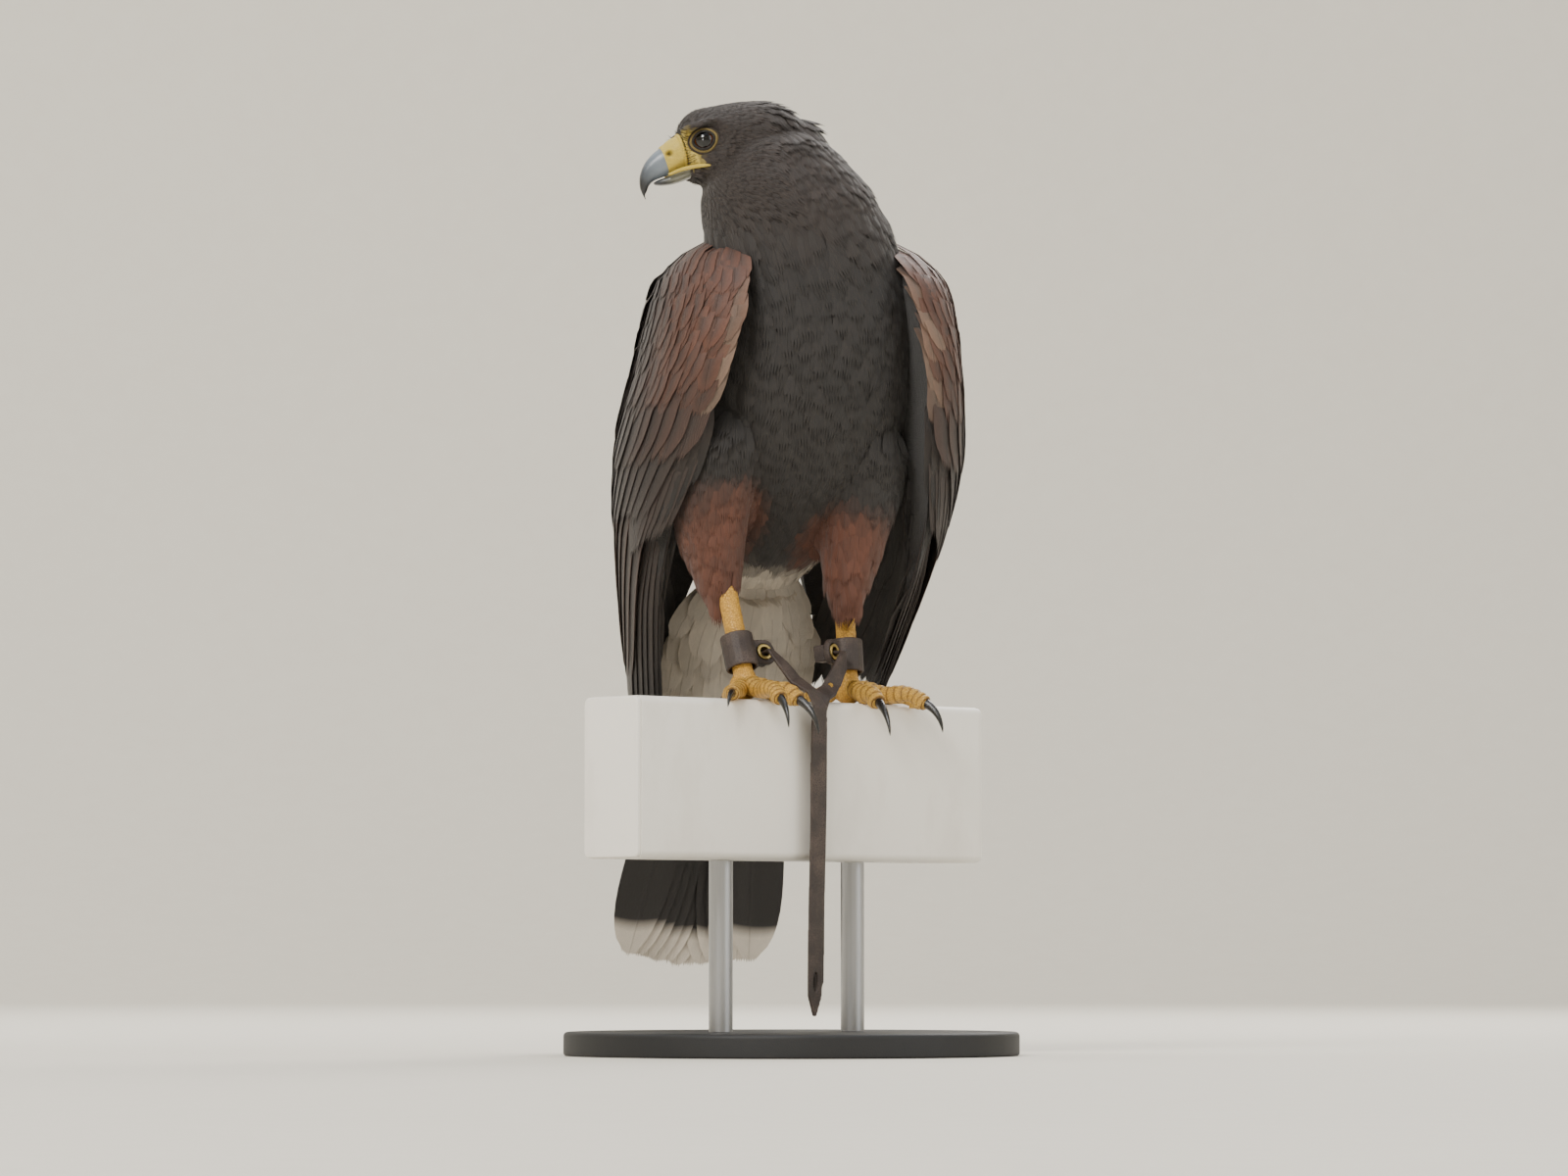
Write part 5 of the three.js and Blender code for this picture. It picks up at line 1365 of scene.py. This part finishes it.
def build_eyeball(side, material):
    centre, gaze, across, rise = eye_axes(side)
    rings, sides = 40, 48
    points, vane = [], []
    for a in np.linspace(0, math.pi, rings):
        cornea = 1 + 0.06 * math.exp(-(a / 0.55) ** 2)
        r = EYE_RADIUS * cornea * 0.97
        points += egg(centre, gaze * r, across * r, rise * r, [a], sides)
        vane += [(i / sides, a / math.pi) for i in range(sides)]
    ball = Mesh()
    ball.add(np.concatenate(points), skin_faces(rings, sides), vane=vane)
    ball.build(f"eyeball_{side}", material, [f"eye_{side}"], "eyes", sharp=179)


def build_lids(side, material):
    """Three folds of skin about the eye, one outside the other, each a closed roll."""
    centre, gaze, across, rise = eye_axes(side)
    steps, sides = 56, 12
    dark_rim, ring_skin, fold_skin = shade("#1a1511", "#7b6b3c", "#2f261d")
    folds = ((5.2, 0.8, 4.6, dark_rim), (6.2, 0.9, 3.9, ring_skin), (7.3, 1.0, 3.1, fold_skin))
    lids = Mesh()
    for radius, thick, out_by, tone in folds:
        rolls = []
        for a in np.arange(steps) * math.tau / steps:
            flat = 0.78 if math.sin(a) > 0 else 0.92
            pull = 1 + 0.07 * max(0, math.cos(a)) ** 6 + 0.05 * max(0, -math.cos(a)) ** 6
            ray = across * math.cos(a) * pull + rise * math.sin(a) * flat
            rolls.append(oval(centre + gaze * out_by + ray * radius, unit(ray) * thick, gaze * thick, sides))
        faces = []
        for k in range(steps):
            for i in range(sides):
                j, m = (i + 1) % sides, (k + 1) % steps
                faces.append((k * sides + i, m * sides + i, m * sides + j, k * sides + j))
        lids.add(np.concatenate(rolls), faces, tint=tone)
    lids.build(f"lids_{side}", material, [f"eye_{side}"], "torso", sharp=80)


# Legs, feet and claws

TOES = [
    dict(name="inner", turn=30, length=34, claw=24, radius=4.6, plates=8),
    dict(name="middle", turn=0, length=47, claw=20, radius=4.4, plates=13),
    dict(name="outer", turn=-32, length=36, claw=17, radius=4.1, plates=9),
    dict(name="hind", turn=176, length=25, claw=25, radius=4.7, plates=6),
]


def toe_line(side, toe):
    turn_by = LEGS[side]["heading"] + (toe["turn"] if side == "right" else -toe["turn"])
    out = np.array([math.cos(math.radians(turn_by)), math.sin(math.radians(turn_by)), 0.0])
    edge = RAIL_DEPTH / 2 / max(abs(out @ RAIL_FRONT), 0.3)
    bend = min(max(0, toe["length"] - edge), 14) / 14
    flat = toe["radius"] * 0.86
    place = lambda reach, z: foot_centre(side) + out * reach + UP * z
    length = toe["length"]
    points = [place(0, KNUCKLE_UP), place(8, flat + 3.4), place(length * 0.5, flat + 0.8),
              place(length * 0.8, flat + 0.6 * bend), place(length, flat - 0.8 - 3.6 * bend)]
    return points, out, place, flat, bend


def scute(phase, height):
    """One overlapping plate's rise along its length, a share phase from 0 to 1 from its root."""
    return height * min(1, phase * 1.6) * (1 - max(0, phase - 0.86) / 0.14)


def build_talon(side, toe, material):
    """A curved claw, flattened underneath. What it gives back is the path of the skin about its root."""
    _, out, place, flat, bend = toe_line(side, toe)
    start = place(toe["length"] - 1.2, flat - 0.6 - 3.2 * bend)
    begin = math.radians(34 * bend - 12)
    swing = math.radians(62 if bend > 0.2 else 66)
    arc = toe["claw"] / swing
    steps, sides = 22, 16
    across = np.array([-out[1], out[0], 0.0])
    points, vane = [], []
    for t in np.linspace(0, 1, steps):
        angle = begin + swing * t
        forward, drop = math.sin(angle) - math.sin(begin), math.cos(begin) - math.cos(angle)
        centre = start + out * arc * forward - UP * arc * drop
        upward = np.cross(out * math.cos(angle) - UP * math.sin(angle), across)
        r = toe["radius"] * 0.62 * (1 - t) ** 0.72 + 0.12
        for i in range(sides):
            b = math.tau * i / sides
            low = 0.82 if math.sin(b) * upward[2] < 0 else 1.0
            points.append(centre + across * math.cos(b) * r * 0.78 + upward * math.sin(b) * r * low)
            vane.append((i / sides, t))
    talon = Mesh()
    talon.add(points, skin_faces(steps, sides), vane=vane)
    name = toe["name"]
    talon.build(f"talon_{side}_{name}", material, [f"claw_{side}_{name}"], "claws", sharp=80)
    ahead = out * math.cos(begin) - UP * math.sin(begin)
    return spline([start - out * 3.2 + UP * 0.4, start - out * 0.6, start + ahead * 1.8], 9)


def build_foot(side, materials):
    """The toes, the knuckle and the shank in one scaled skin, and the talons."""
    yellow, seam, knuckle_tone, shank_tone = shade("#cda24b", "#7d5a22", "#c8983f", "#cb9c44")
    skin, sides = Mesh(), 26
    for toe in TOES:
        plates = toe["plates"]
        rings = plates * 6 + 1

        def toe_radius(t, angle):
            base = toe["radius"] * (1.1 - 0.32 * t) * (1 + 0.075 * math.cos(t * plates * 1.55))
            plate = scute((t * plates) % 1.0, 0.62) * max(0.0, math.sin(angle)) ** 0.5
            pads = 0.07 * max(0, -math.sin(angle)) * (1 + math.cos(t * plates * 1.1))
            return base * (1 + pads) + plate - 0.1

        points = sweep(spline(toe_line(side, toe)[0], rings), toe_radius, sides)
        phase = (np.repeat(np.linspace(0, 1, rings), sides) * plates) % 1.0
        between = np.exp(-((phase - 0.97) / 0.1) ** 2) + np.exp(-(phase / 0.1) ** 2)
        skin.add(points, skin_faces(rings, sides), tint=mix(yellow, seam, between[:, None]))
        root = build_talon(side, toe, materials["claw"])
        root_radius = lambda t, a: toe["radius"] * (0.86 - 0.2 * t)
        skin.add(sweep(root, root_radius, 18), skin_faces(len(root), 18), tint=yellow)
    centre = foot_centre(side) + UP * KNUCKLE_UP
    rings = egg(centre, UP * KNUCKLE, ACROSS * KNUCKLE, DEPTH * KNUCKLE, np.linspace(0, math.pi, 18), sides)
    skin.add(np.concatenate(rings), skin_faces(len(rings), sides), tint=knuckle_tone)
    path = np.array([shank_at(side, t) for t in np.linspace(-0.05, 0.86, 73)])
    axis = unit(path[-1] - path[0])
    front = unit(axis * axis[1] - DEPTH)

    def shank_radius(t, angle):
        flare = 1.6 * float(ease(t, 0.7, 1)) + 1.1 * float(1 - ease(t, 0, 0.12))
        plate = scute((t * 13) % 1.0, 0.4)
        under_cuff = float(ease(t, 0.05, 0.1)) * (1 - float(ease(t, 0.3, 0.36)))
        return SHANK_RADIUS + flare + plate * max(0, math.sin(angle)) ** 0.5 * (1 - under_cuff) - 0.1

    points = sweep(path, shank_radius, sides, squash=0.94, upright=front)
    skin.add(points, skin_faces(len(path), sides), tint=shank_tone)
    nodes = [f"foot_{side}", f"shank_{side}"]
    skin.build(f"foot_skin_{side}", materials["legs"], nodes, "scaled_skin", sharp=60)


# Leather and metal on the legs, from the solids, rounded at their edges

def soften(name, node, material, slot, grain, times):
    """A strap, cuff or eyelet from its own solid, with its sharp edges worn round."""
    made = add_object(name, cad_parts[node].data.copy())
    weld = made.modifiers.new("weld", "WELD")
    weld.merge_threshold = 1e-6
    mesh = remeshed(made, grain, 0.5, times)
    for layer in list(mesh.uv_layers):
        mesh.uv_layers.remove(layer)
    mesh.uv_layers.new(name="OFBake")
    unwrap(made)
    return finish_piece(made, material, [node], slot)


# The perch and its stand

def rail_point(along, front, z):
    return RAIL_ALONG * along + RAIL_FRONT * front + UP * z


def rounded_outline(half_width, half_height, corner, steps):
    out = []
    for cx, cy, start in ((1, 1, 0), (-1, 1, 90), (-1, -1, 180), (1, -1, 270)):
        for k in range(steps + 1):
            a = math.radians(start + 90 * k / steps)
            out.append((cx * (half_width - corner) + corner * math.cos(a),
                        cy * (half_height - corner) + corner * math.sin(a)))
    return out


def build_perch(materials):
    middle = -RAIL_HEIGHT / 2
    outline = rounded_outline(RAIL_DEPTH / 2, RAIL_HEIGHT / 2, RAIL_CORNER, 8)
    rail = Mesh()
    stations = np.linspace(-RAIL_HALF_LENGTH, RAIL_HALF_LENGTH, 40) + RAIL_SHIFT
    rail.add([rail_point(a, x, middle + y) for a in stations for x, y in outline],
             skin_faces(len(stations), len(outline)))
    rail.build("rail", materials["rail"], ["perch_rail"], "rail_paint", sharp=40)
    for end, side in ((-1, "right"), (1, "left")):
        cap = Mesh()
        inner = RAIL_SHIFT + end * (RAIL_HALF_LENGTH + GAP)
        rings = [(0, 0.5), (1.6, 0.5), (2.2, 0.9), (CAP_THICKNESS, 1.9)]
        points = []
        for away, inset in rings:
            ring = rounded_outline(RAIL_DEPTH / 2 - inset, RAIL_HEIGHT / 2 - inset, 3.0, 5)
            points += [rail_point(inner + end * away, x, middle + y) for x, y in ring]
        cap.add(points, skin_faces(len(rings), len(ring)))
        cap.build(f"rail_cap_{side}", materials["rail"], [f"perch_cap_{side}"], "rail_paint", sharp=30)


def lathe(profile, sides, centre):
    """Rings about an upright axis, from radii and heights."""
    return np.concatenate([oval(centre + UP * z, ACROSS * r, DEPTH * r, sides) for r, z in profile])


def build_stand(materials):
    base = Mesh()
    top = BASE_THICKNESS
    edge = 2.2
    profile = [(0.01, 0), (BASE_RADIUS - 1, 0), (BASE_RADIUS, 1), (BASE_RADIUS, top - edge)]
    for a in np.linspace(0.2, math.pi / 2, 7):
        profile.append((BASE_RADIUS - edge + edge * math.cos(a), top - edge + edge * math.sin(a)))
    profile += [(r, top) for r in (90, 60, 30, 0.01)]
    points = lathe(profile, 128, UP * -PERCH_TOP)
    base.add(points, skin_faces(len(profile), 128))
    base.build("stand_disc", materials["stand"], ["stand_base"], "stand_black", sharp=35)
    low, high = BASE_THICKNESS - PERCH_TOP + GAP, -RAIL_HEIGHT - GAP
    for end, side in ((-1, "right"), (1, "left")):
        rod = Mesh()
        centre = RAIL_ALONG * (end * ROD_SPREAD + RAIL_SHIFT)
        profile = [(0.01, low), (ROD_RADIUS, low), (ROD_RADIUS, mix(low, high, 0.33)),
                   (ROD_RADIUS, mix(low, high, 0.66)), (ROD_RADIUS, high), (0.01, high)]
        rod.add(lathe(profile, 48, centre), skin_faces(len(profile), 48))
        rod.build(f"stand_upright_{side}", materials["steel"], [f"stand_rod_{side}"], "stand_steel", sharp=35)


# Floor, backdrop and light

def build_studio(materials):
    """A round floor that bends up into a backdrop, open at the top, and its lights."""
    flat, bend, top, sides = 3.7, 1.6, 4.6, 96
    profile = [(flat * 0.5, 0.0), (flat, 0.0)]
    for a in np.linspace(0.08, math.pi / 2, 20):
        profile.append((flat + bend * math.sin(a), bend - bend * math.cos(a)))
    profile.append((flat + bend, top))
    mesh = bpy.data.meshes.new("floor")
    faces = [face[::-1] for face in skin_faces(len(profile), sides)[:-1]]
    mesh.from_pydata(lathe(profile, sides, np.zeros(3)).tolist(), [], faces)
    smooth_faces(mesh)
    mesh.materials.append(materials["floor"])
    floor = add_object("floor", mesh)
    floor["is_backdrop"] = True
    soft_white, plain, breast = (1.0, 0.98, 0.95), (1.0, 1.0, 1.0), (0.0, 0.0, 0.3)
    lamps = (
        ("key", (-1.9, -2.0, 2.2), 1.2, 102.0, soft_white, breast),
        ("fill", (2.2, -2.0, 1.2), 2.0, 26.0, (0.94, 0.97, 1.0), breast),
        ("rim", (1.5, 1.6, 1.9), 1.0, 40.0, soft_white, breast),
        ("top", (0.0, 0.0, 3.0), 2.0, 30.0, plain, breast),
        ("backdrop", (0.0, 1.6, 3.2), 3.0, 130.0, (1.0, 0.99, 0.97), (0.0, 4.2, 0.9)),
    )
    for name, place, size, power, colour, aim in lamps:
        lamp = bpy.data.lights.new(name, "AREA")
        lamp.size, lamp.energy, lamp.color = size, power, colour
        light = add_object(name, lamp)
        light.location = place
        light.rotation_mode = "QUATERNION"
        light.rotation_quaternion = (Vector(aim) - Vector(place)).to_track_quat("-Z", "Y")
    world = bpy.data.worlds.new("world")
    world.use_nodes = True
    sky = world.node_tree.nodes["Background"].inputs
    sky["Color"].default_value = (0.86, 0.89, 0.93, 1.0)
    sky["Strength"].default_value = 0.6
    bpy.context.scene.world = world


# The finishes

materials = {
    "contour": finish("contour_vane", feather_vane, 17.6, 1.1, 0.72, 0.3),
    "fine": finish("head_vane", feather_vane, 8.8, 1.1, 0.75, 0.2),
    "flight": finish("flight_vane", feather_vane, 216, 1.8, 0.5, 0.18, 0.06),
    "covert": finish("covert_vane", feather_vane, 51, 1.5, 0.58, 0.28),
    "down": finish("loose_down", loose_down),
    "bill": finish("bill_horn", horn, "#7d8791", "#16171a", 0.12, 0.72, 0.3),
    "bill_low": finish("lower_bill_horn", horn, "#8b8a78", "#2a2c30", 0.2, 0.8, 0.34),
    "claw": finish("claw_horn", horn, "#1c1916", "#0c0b0a", 0.0, 0.8, 0.26),
    "cere": finish("cere_skin", bare_skin, 0.42, 0.55, 0.12),
    "lids": finish("lid_skin", bare_skin, 0.5, 0.5, 0.12),
    "legs": finish("leg_skin", bare_skin, 0.46, 1.3, 0.28),
    "eye": finish("wet_eye", wet_eye),
    "leather": finish("greased_leather", greased_leather),
    "brass": finish("worn_brass", bare_metal, "#c9b06a", 0.3),
    "steel": finish("brushed_steel", bare_metal, "#b9babc", 0.28, 0.02),
    "rail": finish("satin_paint", sprayed_paint, "#f3eee4", "#cfc7b8", 0.42, 2.2, 0.12),
    "stand": finish("textured_paint", sprayed_paint, "#1b1b1c", "#242425", 0.5, 0.7, 0.15),
    "floor": finish("matt_card", matt_card),
}

# The hawk from its skin outward, what it wears, and what holds it up

skin = body_skin()
bare_lores(skin, materials["lids"])
cover_body(skin, materials["contour"], materials["fine"])
bristles(skin, materials["fine"])
finish_piece(skin, materials["down"], ["torso", "neck", "head", "thigh_right", "thigh_left"], "torso")
for side in SIDE_SIGN:
    build_wing(side, materials)
    build_foot(side, materials)
    soften(f"cuff_{side}", f"anklet_{side}", materials["leather"], "leg_leather", LEATHER_GRAIN, 3)
    soften(f"strap_{side}", f"jess_{side}", materials["leather"], "leg_leather", LEATHER_GRAIN, 2)
    soften(f"eyelet_{side}", f"anklet_ring_{side}", materials["brass"], "grommets", EYELET_GRAIN, 3)
build_mantle(materials["covert"])
build_tail(materials)
build_bill(materials)
build_cere(materials["cere"])
for side in SIDE_SIGN:
    build_eyeball(side, materials["eye"])
    build_lids(side, materials["lids"])
build_perch(materials)
build_stand(materials)
build_studio(materials)

last_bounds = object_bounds()
[[list(corner) for corner in box] for box in (first_bounds, last_bounds)]
